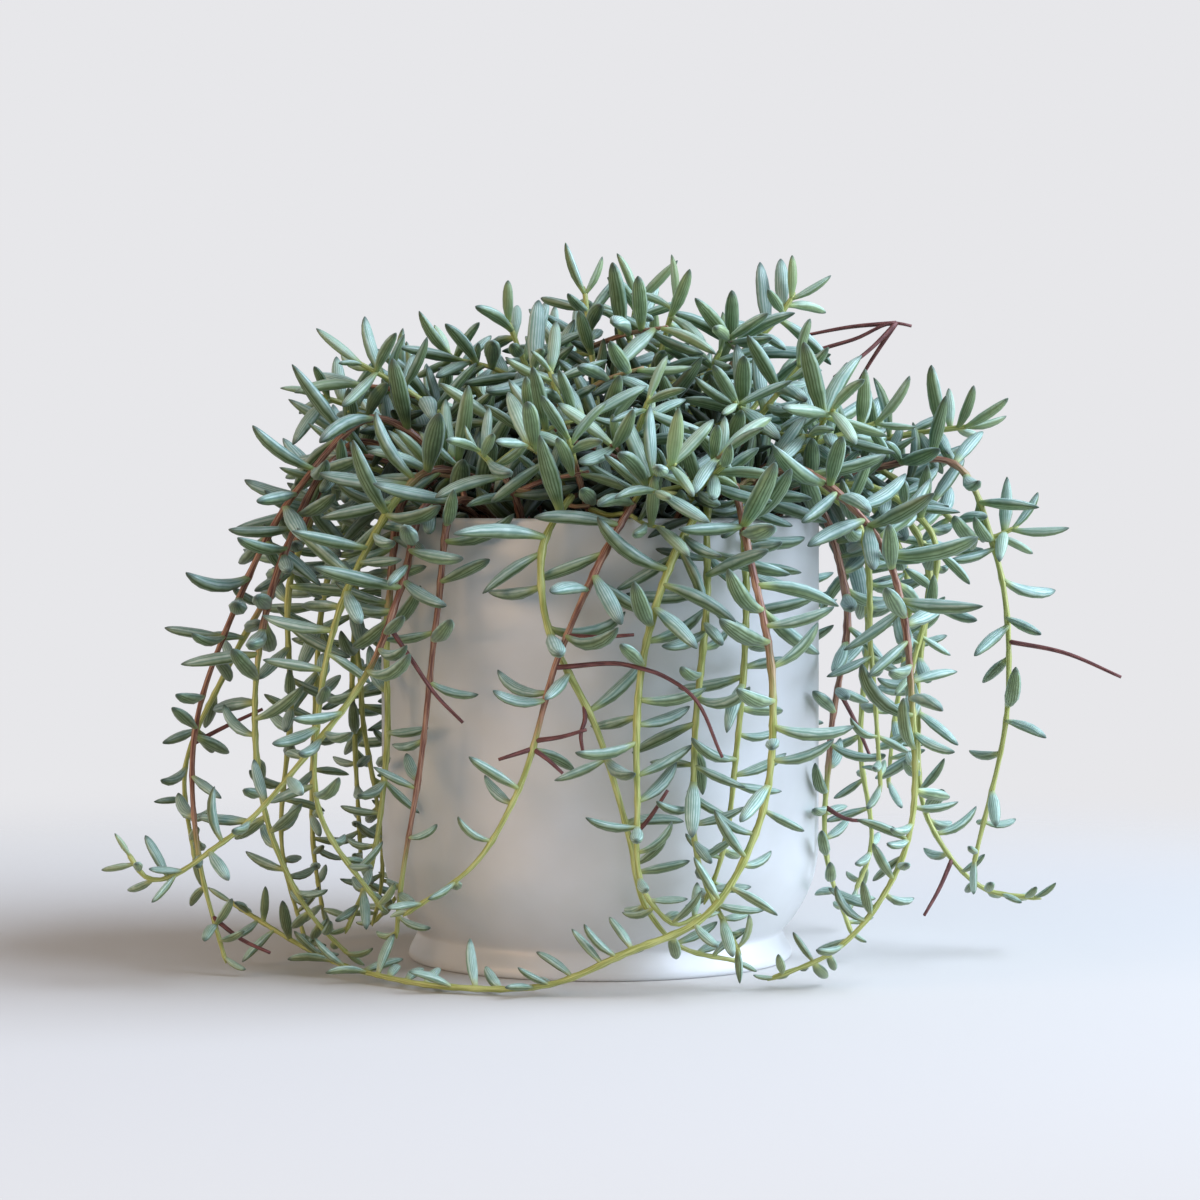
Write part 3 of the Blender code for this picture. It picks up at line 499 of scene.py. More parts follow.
crumb_level = soil_height(crumb_flat) + CRUMB_RISE * crumb_size
crumb_place = np.hstack([crumb_flat, crumb_level[:, None]])
crumb_points = (crumb_place[:, None] + 0.5 * crumb_form).reshape(-1, 3)
crumb_faces = (lump_faces + len(lump) * np.arange(CRUMBS)[:, None, None]).reshape(-1, 3)
soil_faces = soil_faces + (crumb_faces + len(soil_points)).tolist()
crumb_tone = np.concatenate([np.zeros(len(soil_points)),
                             np.repeat(draw.uniform(*CRUMB_TONES, CRUMBS), len(lump))])
soil_points = np.vstack([soil_points, crumb_points])
print("soil faces with crumbs", len(soil_faces))

# %% [markdown]
# Damp peat is almost black and quite matt; bark crumbs are a warmer brown. The tone of each
# crumb is carried as a value on its points, and a fine noise breaks up both.

# %% Peat and bark
PEAT = "#221811"
BARK = "#5A4230"
PEAT_GRAIN = 1.6

peat, tree, shader = new_material("peat_and_bark")
place = add_node(tree, "ShaderNodeTexCoord").outputs["Object"]
grain = noise(tree, place, PEAT_GRAIN * MM, 5.0)
tone = parts_of(tree, carried(tree, "tone"))["X"]
earth = blend(tree, maths(tree, "MULTIPLY", tone, grain), PEAT, BARK)
tree.links.new(earth, shader.inputs["Base Color"])
add_relief(tree, shader, grain, 0.8, 0.6)
shader.inputs["Roughness"].default_value = 0.92

soil_tone = np.repeat(crumb_tone[:, None], 3, axis=1)
soil = make_piece("potting_soil", soil_points, soil_faces, [peat], values={"tone": soil_tone})
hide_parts("soil")
print("soil triangles", 2 * len(soil_faces))

# %% [markdown]
# Each stem roots in the soil, rises, crosses the rim and hangs. Its route is the design of this
# plant: a few points chosen for the stems that show from the front. They are the same as
# those of the solids: x to the right, y away from the front, z up. The first has no height,
# because it is the stem's place in the soil. Twigs name the stem that they grow from.

# %% Routes of the stems
SEED = 41
ROOT_DEPTH = 8.0
OLD_STEM = 1.25
YOUNG_STEM = 0.95
YOUNG_FROM = 0.6
STEM_TIP = 0.65
ROUTE_STEP = 2.5
TWIG_RADIUS = 0.8
TWIG_TIP = 0.5

TRAILING = {
    "stem_front_1": [(-31, -32), (-44, -57, 146), (-49, -66, 113), (-54, -67, 68), (-61, -62, 24),
                    (-62, -59, 13)],
    "stem_front_2": [(6, -45), (9, -72, 144), (3, -79, 134), (-12, -84, 101), (-25, -86, 59),
                    (-36, -84, 40), (-59, -76, 22)],
    "stem_front_3": [(-13, -42), (-9, -66, 147), (-17, -77, 133), (-17, -80, 116), (0, -84, 76),
                    (9, -84, 45), (13, -83, 27), (22, -82, 15), (43, -76, 8)],
    "stem_front_4": [(26, -40), (29, -68, 142), (24, -76, 134), (13, -86, 101), (11, -91, 61),
                    (15, -91, 28), (23, -88, 21), (30, -86, 24)],
    "stem_front_5": [(45, -31), (41, -62, 150), (44, -76, 133), (51, -88, 91), (46, -92, 49),
                    (30, -97, 24), (8, -97, 14), (-14, -92, 4), (-46, -84, 2), (-68, -66, 3),
                    (-93, -32, 7), (-119, -10, 19)],
    "stem_front_6": [(34, -23), (32, -60, 146), (32, -76, 119), (28, -82, 71), (29, -83, 40),
                    (42, -81, 11)],
    "stem_front_7": [(44, -19), (43, -50, 147), (44, -68, 120), (41, -77, 74), (35, -79, 36),
                    (31, -80, 26)],
    "stem_left_1": [(-39, -14), (-72, -18, 172), (-95, -26, 149), (-114, -31, 112), (-126, -35, 74),
                    (-124, -41, 35), (-115, -49, 4)],
    "stem_left_2": [(-44, 2), (-77, 0, 165), (-101, -8, 124), (-119, -14, 91), (-131, -18, 62),
                    (-128, -20, 32)],
    "stem_left_3": [(-21, -33), (-50, -44, 156), (-74, -61, 125), (-85, -68, 81), (-85, -68, 54),
                    (-66, -62, 22)],
    "stem_left_4": [(-36, -24), (-53, -50, 145), (-60, -66, 120), (-68, -73, 98), (-88, -79, 70),
                    (-112, -80, 45), (-136, -77, 34), (-142, -76, 42)],
    "stem_left_5": [(-46, -9), (-80, -14, 161), (-98, -34, 130), (-106, -48, 81), (-101, -49, 44),
                    (-87, -46, 16), (-77, -42, 5)],
    "stem_left_6": [(-49, 12), (-81, 16, 156), (-99, 20, 128), (-101, 18, 75), (-103, 10, 32),
                    (-95, 2, 4)],
    "stem_left_7": [(-37, 24), (-71, 34, 156), (-89, 42, 125), (-95, 42, 73), (-95, 38, 27),
                    (-92, 36, 9)],
    "stem_left_8": [(-45, -20), (-59, -34, 148), (-65, -44, 115), (-66, -44, 66), (-72, -42, 29),
                    (-79, -40, 12)],
    "stem_right_1": [(38, 2), (86, -2, 156), (112, -9, 158), (125, -14, 130), (129, -17, 85),
                    (118, -18, 30)],
    "stem_right_2": [(41, -9), (62, -24, 153), (78, -33, 142), (84, -38, 98), (87, -40, 56)],
    "stem_right_3": [(38, -33), (58, -46, 156), (82, -59, 138), (94, -69, 84), (90, -75, 38),
                    (70, -79, 12), (50, -78, 3)],
    "stem_right_4": [(51, 4), (66, 1, 147), (78, -8, 118), (73, -14, 70), (72, -17, 32),
                    (80, -18, 8)],
    "stem_right_5": [(45, 19), (81, 20, 155), (104, 18, 134), (103, 12, 81), (107, 6, 41),
                    (124, 2, 21), (142, 0, 18)],
    "stem_right_6": [(53, -7), (82, -14, 151), (103, -28, 137), (96, -38, 90)],
    "stem_right_7": [(40, 26), (76, 34, 155), (98, 42, 133), (97, 42, 62), (96, 42, 50)],
    "stem_right_8": [(30, 36), (60, 46, 156), (87, 54, 122), (88, 56, 60), (91, 56, 26),
                    (86, 56, 13)],
}

CROWN = {
    "shoot_01": [(0, -12), (-1, -14, 174), (-5, -8, 214)],
    "shoot_02": [(10, 6), (7, 4, 178), (12, 0, 212)],
    "shoot_03": [(18, -12), (16, -14, 177), (24, -20, 211)],
    "shoot_04": [(-20, 4), (-21, 2, 180), (-30, -2, 205)],
    "shoot_05": [(-8, -26), (-10, -36, 168), (-16, -40, 188)],
    "shoot_06": [(-26, 10), (-36, 12, 175), (-50, 10, 195)],
    "shoot_07": [(-28, -6), (-48, -10, 171), (-66, -16, 184), (-77, -19, 190)],
    "shoot_08": [(-36, 3), (-58, 2, 164), (-77, 0, 175), (-91, -6, 180)],
    "shoot_09": [(-52, -2), (-66, -10, 155), (-80, -16, 157), (-90, -18, 152)],
    "shoot_10": [(26, 2), (28, -2, 172), (39, -6, 195)],
    "shoot_11": [(22, 15), (32, 14, 172), (46, 12, 194), (56, 10, 203), (63, 9, 213)],
    "shoot_12": [(30, -13), (58, -26, 160), (76, -28, 167), (88, -30, 171)],
    "shoot_13": [(22, -49), (30, -66, 150), (38, -78, 158)],
    "shoot_14": [(9, -31), (10, -52, 162), (15, -62, 178)],
    "shoot_15": [(29, -4), (47, -18, 168), (64, -20, 190)],
    "shoot_16": [(52, 11), (71, 12, 160), (98, 9, 167), (120, 5, 170)],
    "shoot_17": [(46, -1), (78, 4, 160), (105, -2, 146), (123, -8, 134), (133, -10, 138)],
    "shoot_18": [(-24, -46), (-28, -62, 152), (-38, -71, 163)],
    "shoot_19": [(-2, -52), (-6, -66, 152), (-10, -77, 167)],
    "shoot_20": [(9, 21), (14, 38, 175), (19, 50, 200)],
    "shoot_21": [(-13, 18), (-17, 36, 175), (-16, 50, 199)],
    "shoot_22": [(33, 24), (46, 24, 170), (60, 30, 188)],
    "shoot_23": [(-29, 25), (-46, 40, 169), (-62, 46, 183)],
}

TWIGS = [
    ("stem_front_2", [(-13, -85, 96), (10, -87, 97), (27, -90, 89), (36, -93, 71)]),
    ("stem_front_2", [(-12, -84, 106), (-2, -88, 106), (10, -90, 107)]),
    ("stem_front_2", [(-18, -87, 76), (-11, -89, 77), (-4, -90, 79)]),
    ("stem_front_2", [(-19, -86, 73), (-15, -88, 70), (-11, -89, 66)]),
    ("stem_front_3", [(9, -92, 94), (5, -91, 87), (-1, -90, 80), (-5, -88, 72)]),
    ("stem_front_2", [(-21, -86, 73), (-30, -88, 70)]),
    ("stem_front_3", [(9, -84, 45), (14, -87, 51), (20, -89, 61)]),
    ("stem_left_4", [(-63, -70, 108), (-56, -73, 98), (-49, -74, 88), (-41, -75, 80)]),
    ("stem_left_2", [(-128, -17, 68), (-118, -15, 74), (-107, -13, 80)]),
    ("stem_left_1", [(-120, -45, 17), (-110, -50, 11), (-101, -54, 8)]),
    ("stem_right_1", [(129, -17, 101), (146, -22, 98), (163, -28, 91)]),
    ("stem_right_5", [(116, 3, 31), (110, 0, 21), (104, -3, 13)]),
    ("stem_right_4", [(74, -13, 86), (80, -15, 76), (86, -16, 64)]),
    ("stem_right_4", [(72, -16, 50), (78, -19, 46), (85, -20, 45)]),
    ("shoot_22", [(60, 30, 188), (69, 30, 194), (84, 28, 199), (97, 26, 204), (102, 26, 203)]),
    ("shoot_22", [(97, 26, 204), (83, 30, 203), (66, 34, 200)]),
    ("shoot_22", [(97, 26, 204), (89, 22, 196), (76, 18, 186)]),
    ("shoot_22", [(97, 26, 204), (88, 30, 190), (83, 33, 181)]),
]
print("routes:", len(TRAILING), "trailing and", len(CROWN), "in the crown")

# %% [markdown]
# A stem droops in one smooth curve. Straight runs between the chosen points would look like bent
# wire, so each route becomes a cubic curve through its points, cut into even steps.

# %% Smooth routes
CURVE_STEPS = 16


def unit(v):
    """The vectors at length one."""
    return v / np.maximum(np.linalg.norm(v, axis=-1, keepdims=True), 1e-9)


def run_along(line):
    """Distance along a line at each of its points."""
    return np.concatenate([[0.0], np.cumsum(np.linalg.norm(np.diff(line, axis=0), axis=1))])


def even_points(curve):
    """The curve again, with points about ROUTE_STEP apart."""
    run = run_along(curve)
    at = np.linspace(0.0, run[-1], max(3, int(round(run[-1] / ROUTE_STEP)) + 1))
    return np.stack([np.interp(at, run, curve[:, k]) for k in range(3)], axis=1)


def smooth_route(points, rise):
    """Even points on a smooth curve through the route's points; `rise` is its starting direction.

    Between two points a and b, a chord apart, with slopes m and n, at a share t of the way:
    (2t^3 - 3t^2 + 1) a + (t^3 - 2t^2 + t) chord m + (3t^2 - 2t^3) b + (t^3 - t^2) chord n.
    """
    p = np.array(points, float)
    chord = np.linalg.norm(np.diff(p, axis=0), axis=1)[:, None]
    course = np.diff(p, axis=0) / chord
    slope = np.vstack([course[:1], course])
    slope[1:-1] = (course[1:] * chord[:-1] + course[:-1] * chord[1:]) / (chord[1:] + chord[:-1])
    if rise is not None:
        slope[0] = rise
    t = np.linspace(0.0, 1.0, CURVE_STEPS + 1)[:-1, None, None]
    curve = ((2 * t ** 3 - 3 * t ** 2 + 1) * p[:-1] + (t ** 3 - 2 * t ** 2 + t) * chord * slope[:-1]
             + (3 * t ** 2 - 2 * t ** 3) * p[1:] + (t ** 3 - t ** 2) * chord * slope[1:])
    curve = np.vstack([curve.transpose(1, 0, 2).reshape(-1, 3), p[-1:]])
    return even_points(curve)


def stem_radius(share):
    """Stem radius at a share of its length, from the soil (0) to the tip (1)."""
    return np.interp(share, (0.0, YOUNG_FROM, 1.0), (OLD_STEM, YOUNG_STEM, STEM_TIP))


print("steps of", ROUTE_STEP, "mm along each route")

# %% [markdown]
# The photograph doesn't show the back. Stems placed there by hand would be guesses too, so a
# rule with a seeded draw sets them: from a root over a crest outside the rim, then down, each
# with its own swing to one side. A stem that reaches the surface ends lying on it.

# %% Stems round the back
BACK_STEMS = 12
BACK_ARC = (42.0, 148.0)
BACK_TURN = 5.0
BACK_ROOTS = (50.0, 34.0)
ROOT_SPREAD = 2.0
BACK_CREST = (80.0, 92.0)
BACK_BULGE = (8.0, 17.0)
BACK_RISE = (153.0, 168.0)
BACK_FALL = (128.0, 138.0)
BACK_MIDDLE = 85.0
BACK_ENDS = (6.0, 16.0, 30.0, 48.0)
END_SPREAD = 8.0
BACK_SWING = 0.36
LYING_END = 14.0
LYING_HEIGHT = 2.0


def back_routes():
    """Routes of the stems that trail round the back, in points with x, y and height.

    Each station has a distance from the axis, a part and a height. Its angle about the axis is
    angle + swing * part, where part grows down the stem.
    """
    draw = np.random.default_rng(SEED)
    routes = {}
    for k in range(BACK_STEMS):
        share = k / (BACK_STEMS - 1)
        angle = BACK_ARC[0] + (BACK_ARC[1] - BACK_ARC[0]) * share
        angle += draw.uniform(-BACK_TURN, BACK_TURN)
        root = BACK_ROOTS[k % 2] + draw.uniform(-ROOT_SPREAD, ROOT_SPREAD)
        crest, bulge = draw.uniform(*BACK_CREST), draw.uniform(*BACK_BULGE)
        swing = draw.uniform(-BACK_SWING, BACK_SWING)
        low = BACK_ENDS[draw.integers(len(BACK_ENDS))] + draw.uniform(0, END_SPREAD)
        stations = [(root, 0.0, None),
                    (crest, 0.1, draw.uniform(*BACK_RISE)),
                    (crest + bulge, 0.3, draw.uniform(*BACK_FALL)),
                    (crest + bulge, 0.6, BACK_MIDDLE),
                    (crest + 0.5 * bulge, 0.9, low)]
        if low < LYING_END:
            stations.append((crest + 0.8 * bulge, 1.2, LYING_HEIGHT))
        route = []
        for radius, part, height in stations:
            turn = math.radians(angle) + swing * part
            place = (radius * math.cos(turn), radius * math.sin(turn))
            route.append(place if height is None else place + (height,))
        routes["stem_back_%d" % (k + 1)] = route
    return routes


print("stems at the back", BACK_STEMS)

# %% [markdown]
# Real stems lie on one another and on the pot without passing through. A simulation could settle
# them. Pushing apart the points that come too close does the same in a few seconds and gives the
# same result each time. First comes the gap to the pot. A ray test against its mesh would be
# slow. Its half outline is a few straight lines, and the nearest one gives gap and direction.

# %% Gap to the pot
SHOULDER_STEPS = 4


def pot_outline():
    """Half outline of the pot with its soil, as distance from the axis and height."""
    centre = POT_RADIUS - SHOULDER_RADIUS
    low = math.asin((SHOULDER_HEIGHT - FOOT_HEIGHT) / SHOULDER_RADIUS)
    shoulder = [(centre + SHOULDER_RADIUS * math.cos(a),
                 SHOULDER_HEIGHT - SHOULDER_RADIUS * math.sin(a))
                for a in np.linspace(low, 0.0, SHOULDER_STEPS)]
    outer = [(0.0, 0.0), (FOOT_RADIUS, 0.0)] + shoulder + [(POT_RADIUS, POT_HEIGHT - RIM_ROUND)]
    rim = [(POT_RADIUS - RIM_ROUND, POT_HEIGHT), (POT_RADIUS - WALL + RIM_ROUND, POT_HEIGHT),
           (POT_RADIUS - WALL, POT_HEIGHT - RIM_ROUND)]
    return outer + rim


def pot_gap(points):
    """Distance of each point outside the pot and soil, and the direction away from them."""
    outline = np.array(pot_outline() + [(POT_RADIUS - WALL, SOIL_TOP), (0.0, SOIL_TOP)])
    flat = np.stack([np.hypot(points[:, 0], points[:, 1]), points[:, 2]], axis=1)
    a, b = outline[:-1], outline[1:]
    ab = b - a
    share = np.clip(((flat[:, None] - a) * ab).sum(2) / (ab ** 2).sum(1), 0.0, 1.0)
    foot = a + share[..., None] * ab
    gap = np.linalg.norm(flat[:, None] - foot, axis=2)
    nearest = gap.argmin(axis=1)
    row = np.arange(len(points))
    side = outline[1:SHOULDER_STEPS + 3]
    outer = np.interp(flat[:, 1], side[:, 1], side[:, 0])
    inside = (flat[:, 0] < outer) & (flat[:, 1] > 0.0) & (flat[:, 1] < POT_HEIGHT)
    inside &= (flat[:, 1] < SOIL_TOP) | (flat[:, 0] > POT_RADIUS - WALL)
    sign = np.where(inside, -1.0, 1.0)
    out = unit(flat - foot[row, nearest]) * sign[:, None]
    around = points[:, :2] / np.maximum(flat[:, :1], 1e-9)
    return gap[row, nearest] * sign, np.hstack([around * out[:, :1], out[:, 1:]])


print("points of the pot's half outline", len(pot_outline()))

# %% [markdown]
# Only points of two stems that are near each other can push. All pairs at once would need much
# memory, so the points are taken in blocks.

# %% Neighbours
PAIR_BLOCK = 400


def near_pairs(points, owner, reach):
    """Pairs of points of different owners that lie within reach of each other."""
    first, second = [], []
    for start in range(0, len(points), PAIR_BLOCK):
        block = points[start:start + PAIR_BLOCK]
        apart = np.linalg.norm(block[:, None] - points[None], axis=2)
        i, j = np.nonzero((apart < reach) & (owner[start:start + PAIR_BLOCK, None] < owner[None]))
        first.append(i + start)
        second.append(j)
    return np.concatenate(first), np.concatenate(second)


print("points in a block", PAIR_BLOCK)

# %% [markdown]
# Now the stems push each other apart. A push on one point alone would kink the stem, so each is
# shared out to its neighbours, as a stem's stiffness does.

# %% Bend clear
CLEAR_GAP = 1.2
WALL_GAP = 0.72
LIE_GAP = 0.5
STEM_PUSH = 0.8
WALL_PUSH = 1.5
PAIR_REACH = 9.0
PAIR_ROUNDS = 10
SPREAD_PASSES = 3


def bend_clear(routes, radii, held, owners, rounds):
    """Bends routes that come too close to each other, the pot or the floor smoothly clear.

    Every point closer than its own and the other's radius plus the gap is pushed away, each
    push is spread along its stem, and the rounds repeat. Held points stay where they are, and
    routes of one owner may touch.
    """
    owner = np.repeat(owners, [len(r) for r in routes])
    points, radius, fixed = np.vstack(routes), np.concatenate(radii), np.concatenate(held)
    ends = np.cumsum([len(r) for r in routes])
    inner = np.ones(len(points), bool)
    inner[np.concatenate([[0], ends[:-1], ends - 1])] = False
    for step in range(rounds):
        if step % PAIR_ROUNDS == 0:
            i, j = near_pairs(points, owner, PAIR_REACH)
        apart = points[i] - points[j]
        length = np.linalg.norm(apart, axis=1)
        short = np.clip(radius[i] + radius[j] + CLEAR_GAP - length, 0.0, None)
        push = apart / np.maximum(length, 1e-6)[:, None] * (STEM_PUSH * short)[:, None]
        move = np.zeros_like(points)
        np.add.at(move, i, push)
        np.add.at(move, j, -push)
        gap, out = pot_gap(points)
        move += out * (WALL_PUSH * np.clip(radius + WALL_GAP - gap, 0.0, None))[:, None]
        move[:, 2] += WALL_PUSH * np.clip(radius + LIE_GAP - points[:, 2], 0.0, None)
        move[fixed] = 0.0
        for _ in range(SPREAD_PASSES):
            spread = move.copy()
            spread[1:-1] = 0.25 * move[:-2] + 0.5 * move[1:-1] + 0.25 * move[2:]
            move = np.where(inner[:, None], spread, move)
            move[fixed] = 0.0
        points = points + move
    return np.split(points, ends[:-1])


print("gap kept between stems", CLEAR_GAP, "mm, and to the pot", WALL_GAP, "mm")

# %% [markdown]
# With that the stems can grow from the table. Twigs and side shoots start on a stem that is
# already there, so they are bent clear afterwards, and only they move.

# %% Grow the stems
BEND_ROUNDS = 160
SIDE_ROUNDS = 60
COLLAR = 1.5
HELD_POINTS = 3


def grow_stems():
    """Centre line and radius of every stem, by name, bent clear of one another."""
    routes, radii, held = [], [], []
    table = {**TRAILING, **back_routes(), **CROWN}
    for root, *way in table.values():
        collar = (root[0], root[1], SOIL_TOP + COLLAR)
        line = smooth_route([collar] + way, (0.0, 0.0, 1.0))
        line = np.vstack([(root[0], root[1], SOIL_TOP - ROOT_DEPTH), line])
        routes.append(line)
        radii.append(stem_radius(np.linspace(0.0, 1.0, len(line))))
        held.append(np.arange(len(line)) < HELD_POINTS)
    routes = bend_clear(routes, radii, held, np.arange(len(routes)), BEND_ROUNDS)
    return dict(zip(table, zip(routes, radii)))


def side_lines(stems, sides, thickness):
    """Centre lines of side growth, by stem, each begun on the stem itself and bent clear."""
    names = list(stems)
    routes = [stems[name][0] for name in names]
    owners = list(range(len(names)))
    for name, points in sides:
        line = smooth_route(points, None)
        trunk = np.vstack([route for route, own in zip(routes, owners) if names[own] == name])
        shift = trunk[np.linalg.norm(trunk - line[0], axis=1).argmin()] - line[0]
        routes.append(line + shift * np.linspace(1.0, 0.0, len(line))[:, None])
        owners.append(names.index(name))
    radii = [stems[name][1] for name in names]
    radii += [np.linspace(*thickness, len(route)) for route in routes[len(names):]]
    held = [np.ones(len(route), bool) for route in routes[:len(names)]]
    held += [np.arange(len(route)) < HELD_POINTS - 1 for route in routes[len(names):]]
    clear = bend_clear(routes, radii, held, owners, SIDE_ROUNDS)
    lines = {}
    for own, route in zip(owners[len(names):], clear[len(names):]):
        lines.setdefault(names[own], []).append(route)
    return lines


stems = grow_stems()
twigs = side_lines(stems, TWIGS, (TWIG_RADIUS, TWIG_TIP))
print("stems", len(stems), "points", sum(len(line) for line, _ in stems.values()))
print("twigs", len(TWIGS))

# %% [markdown]
# Leaves sit one by one round the stem, each about 137 degrees on from the last, which is how many
# plants share out the light. They are long in the crown, and shorter and more hooked where a
# stem hangs. They could be set by hand, but there are over two thousand, so a rule grows them.
# A leaf's length goes by its distance from the stem's tip, and by its height on a hanging stem.

# %% Leaf sizes in millimetres
TIP_DISTANCES = (0.0, 12.0, 50.0, 110.0, 160.0)
HANGING_LENGTHS = (8.0, 13.0, 18.0, 23.0, 28.0)
CROWN_LENGTHS = (16.0, 21.0, 25.0, 26.0, 26.0)
HEIGHTS = (10.0, 60.0, 130.0)
HEIGHT_LENGTHS = (14.0, 19.0, 29.0)
LENGTH_SPREAD = (0.78, 1.14)
LEAF_FOOTING = 0.9
LEAF_PLUMPNESS = 0.20
print("leaves of the crown from", CROWN_LENGTHS[0], "to", CROWN_LENGTHS[-1], "mm")

# %% [markdown]
# A leaf leaves its stem at some angle and then bends. It leans towards the stem's tip, hooks up
# or down, and on a hanging stem spreads to the sides. Where a stem droops, its leaves lean less
# and hook more.

# %% Leaf angles in degrees
LEANS = (-8.0, 56.0)
DROOP_LEAN = 14.0
TIP_LEANS = (50.0, 80.0)
HOOKS = (-44.0, 28.0)
DROOP_HOOK = 52.0
SIDE_SPREAD = 58.0
TURN_TO_NEXT = 137.5
print("turn from leaf to leaf", TURN_TO_NEXT, "degrees")

# %% [markdown]
# Two shapes carry the leaves. A frame that travels along a stem without twisting says where out
# is at each point. And each leaf has an axis that is part of a circle, so that one formula gives
# all of its points.

# %% Frames and bent axes
NEARLY_ALONG = 0.12


def stem_frames(line):
    """Direction of a line at each point and two directions across it that don't twist."""
    along = unit(np.gradient(line, axis=0))
    across = np.empty_like(along)
    start = np.cross(along[0], (0.0, 1.0, 0.0))
    if np.linalg.norm(start) < NEARLY_ALONG:
        start = np.cross(along[0], (1.0, 0.0, 0.0))
    across[0] = unit(start)
    for k in range(1, len(line)):
        across[k] = unit(across[k - 1] - along[k] * (across[k - 1] @ along[k]))
    return along, across, np.cross(along, across)


def blade_axis(root, start, bend, length, shares):
    """Points of bent blade axes and, at each, the course, the upper side and the width direction.

    An axis is an arc that turns from its start towards the vertical. At a share s of its length,
    angle = bend * s, and the point is
    root + length / bend * (start * sin(angle) + rise * (1 - cos(angle))).
    All but the shares may hold one row for each of several blades.
    """
    upright = np.array([0.0, 0.0, 1.0])
    rise = upright - start * start[..., 2:]
    steep = np.linalg.norm(rise, axis=-1, keepdims=True) < NEARLY_ALONG
    rise = unit(np.where(steep, np.cross(start, (0.3, 1.0, 0.0)), rise))
    start, rise = start[..., None, :], rise[..., None, :]
    bend, length = np.asarray(bend)[..., None, None], np.asarray(length)[..., None, None]
    angle = bend * shares[:, None]
    arm = start * np.sin(angle) + rise * (1.0 - np.cos(angle))
    points = root[..., None, :] + length * arm / bend
    course = start * np.cos(angle) + rise * np.sin(angle)
    face = rise * np.cos(angle) - start * np.sin(angle)
    return points, course, face, np.cross(face, course)


print("frames of a straight line", stem_frames(np.array([(0.0, 0.0, z) for z in range(3)]))[0][0])

# %% [markdown]
# The rule walks down each stem from its tip and notes where a leaf sits and how it stands. All
# chances come from a seeded draw, so that the plant is the same each time.

# %% Where leaves sit
FIRST_LEAF = 1.0
TIP_REACH = 4.0
CROWDED = 25.0
CROWDED_SPACING = 0.5
OVERHANG = 55.0
SPACING_SPREAD = (0.75, 1.25)
SIDE_CHANGE = 0.72
ROLL_SPREAD = 0.6


def leaf_sites(hanging, line, bare, spacings, spread, draw):
    """Places of leaves along a stem, tip first: point index, turn, lean, bend, length and roll.

    In the crown each leaf is turned on by the golden angle. Where a stem hangs, the leaves spread
    to both sides along the pot's wall, by up to the spread, and sit further apart lower down.
    """
    run = run_along(line)
    course, across, beyond = stem_frames(line)
    lengths = HANGING_LENGTHS if hanging else CROWN_LENGTHS
    sites = []
    behind, turn, side = FIRST_LEAF, draw.uniform(0.0, 2.0 * math.pi), 1.0
    while behind < run[-1] - bare:
        place = min(int(np.searchsorted(run, run[-1] - behind)), len(line) - 2)
        droop = np.clip(-course[place, 2], 0.0, 1.0)
        low = hanging and line[place, 2] < POT_HEIGHT
        out = unit(line[place] * (1.0, 1.0, 0.0))
        outward = math.atan2(out @ beyond[place], out @ across[place])
        sideways = outward + side * 0.5 * math.pi + math.radians(draw.uniform(-spread, spread))
        length = np.interp(behind, TIP_DISTANCES, lengths)
        if hanging:
            length = min(length, np.interp(line[place, 2], HEIGHTS, HEIGHT_LENGTHS))
        length *= draw.uniform(*LENGTH_SPREAD)
        lean = draw.uniform(*LEANS) - DROOP_LEAN * droop
        if behind < TIP_REACH:
            lean = draw.uniform(*TIP_LEANS)
        hook = draw.uniform(*HOOKS) + droop * draw.uniform(0.0, DROOP_HOOK)
        roll = draw.uniform(-ROLL_SPREAD, ROLL_SPREAD)
        sites.append((place, sideways if low else turn, math.radians(lean), math.radians(hook),
                      length, roll))
        spacing = spacings[0]
        if low:
            spacing = np.interp(POT_HEIGHT - line[place, 2], (0.0, OVERHANG), spacings)
        spacing *= np.interp(behind, (0.0, CROWDED), (CROWDED_SPACING, 1.0))
        behind += spacing * draw.uniform(*SPACING_SPREAD)
        turn += math.radians(TURN_TO_NEXT)
        side *= -1.0 if draw.uniform() < SIDE_CHANGE else 1.0
    return sites


print("leaves are crowded within", CROWDED, "mm of a tip")

# %% [markdown]
# Leaves must not pass through each other, the stems or the pot. A test of whole meshes would
# take minutes. A row of round beads stands for each leaf instead, so that a test is only a
# distance. Stems and twigs count as beads too, one for each point.

# %% Beads
BEAD_SHARES = np.array([0.28, 0.42, 0.57, 0.72, 0.86, 1.0])
BEAD_WIDTHS = np.array([0.95, 1.0, 1.0, 0.85, 0.6, 0.2])


def beads_there(stems, twigs, leaves, spare):
    """Beads for all that is there already: place, owner and radius of each, and their number.

    The owner is a stem's number, or -1 for a leaf. The arrays have room for spare beads more.
    """
    rows = [(k, *stem) for k, stem in enumerate(stems.values())]
    for k, name in enumerate(stems):
        rows += [(k, twig, np.full(len(twig), TWIG_RADIUS)) for twig in twigs.get(name, [])]
    rows += [(-1, leaf["beads"], leaf["wide"]) for leaf in leaves]
    used = sum(len(row[1]) for row in rows)
    at, who, big = np.zeros((used + spare, 3)), np.full(used + spare, -1), np.zeros(used + spare)
    at[:used] = np.vstack([row[1] for row in rows])
    who[:used] = np.repeat([row[0] for row in rows], [len(row[1]) for row in rows])
    big[:used] = np.concatenate([row[2] for row in rows])
    return at, who, big, used


print("beads of the stems and twigs", beads_there(stems, twigs, [], 0)[3])

# %% [markdown]
# A leaf that would touch something is turned or shortened, as growing leaves do. The settings
# that are tried for it are worked out together, and the first that is clear is taken.

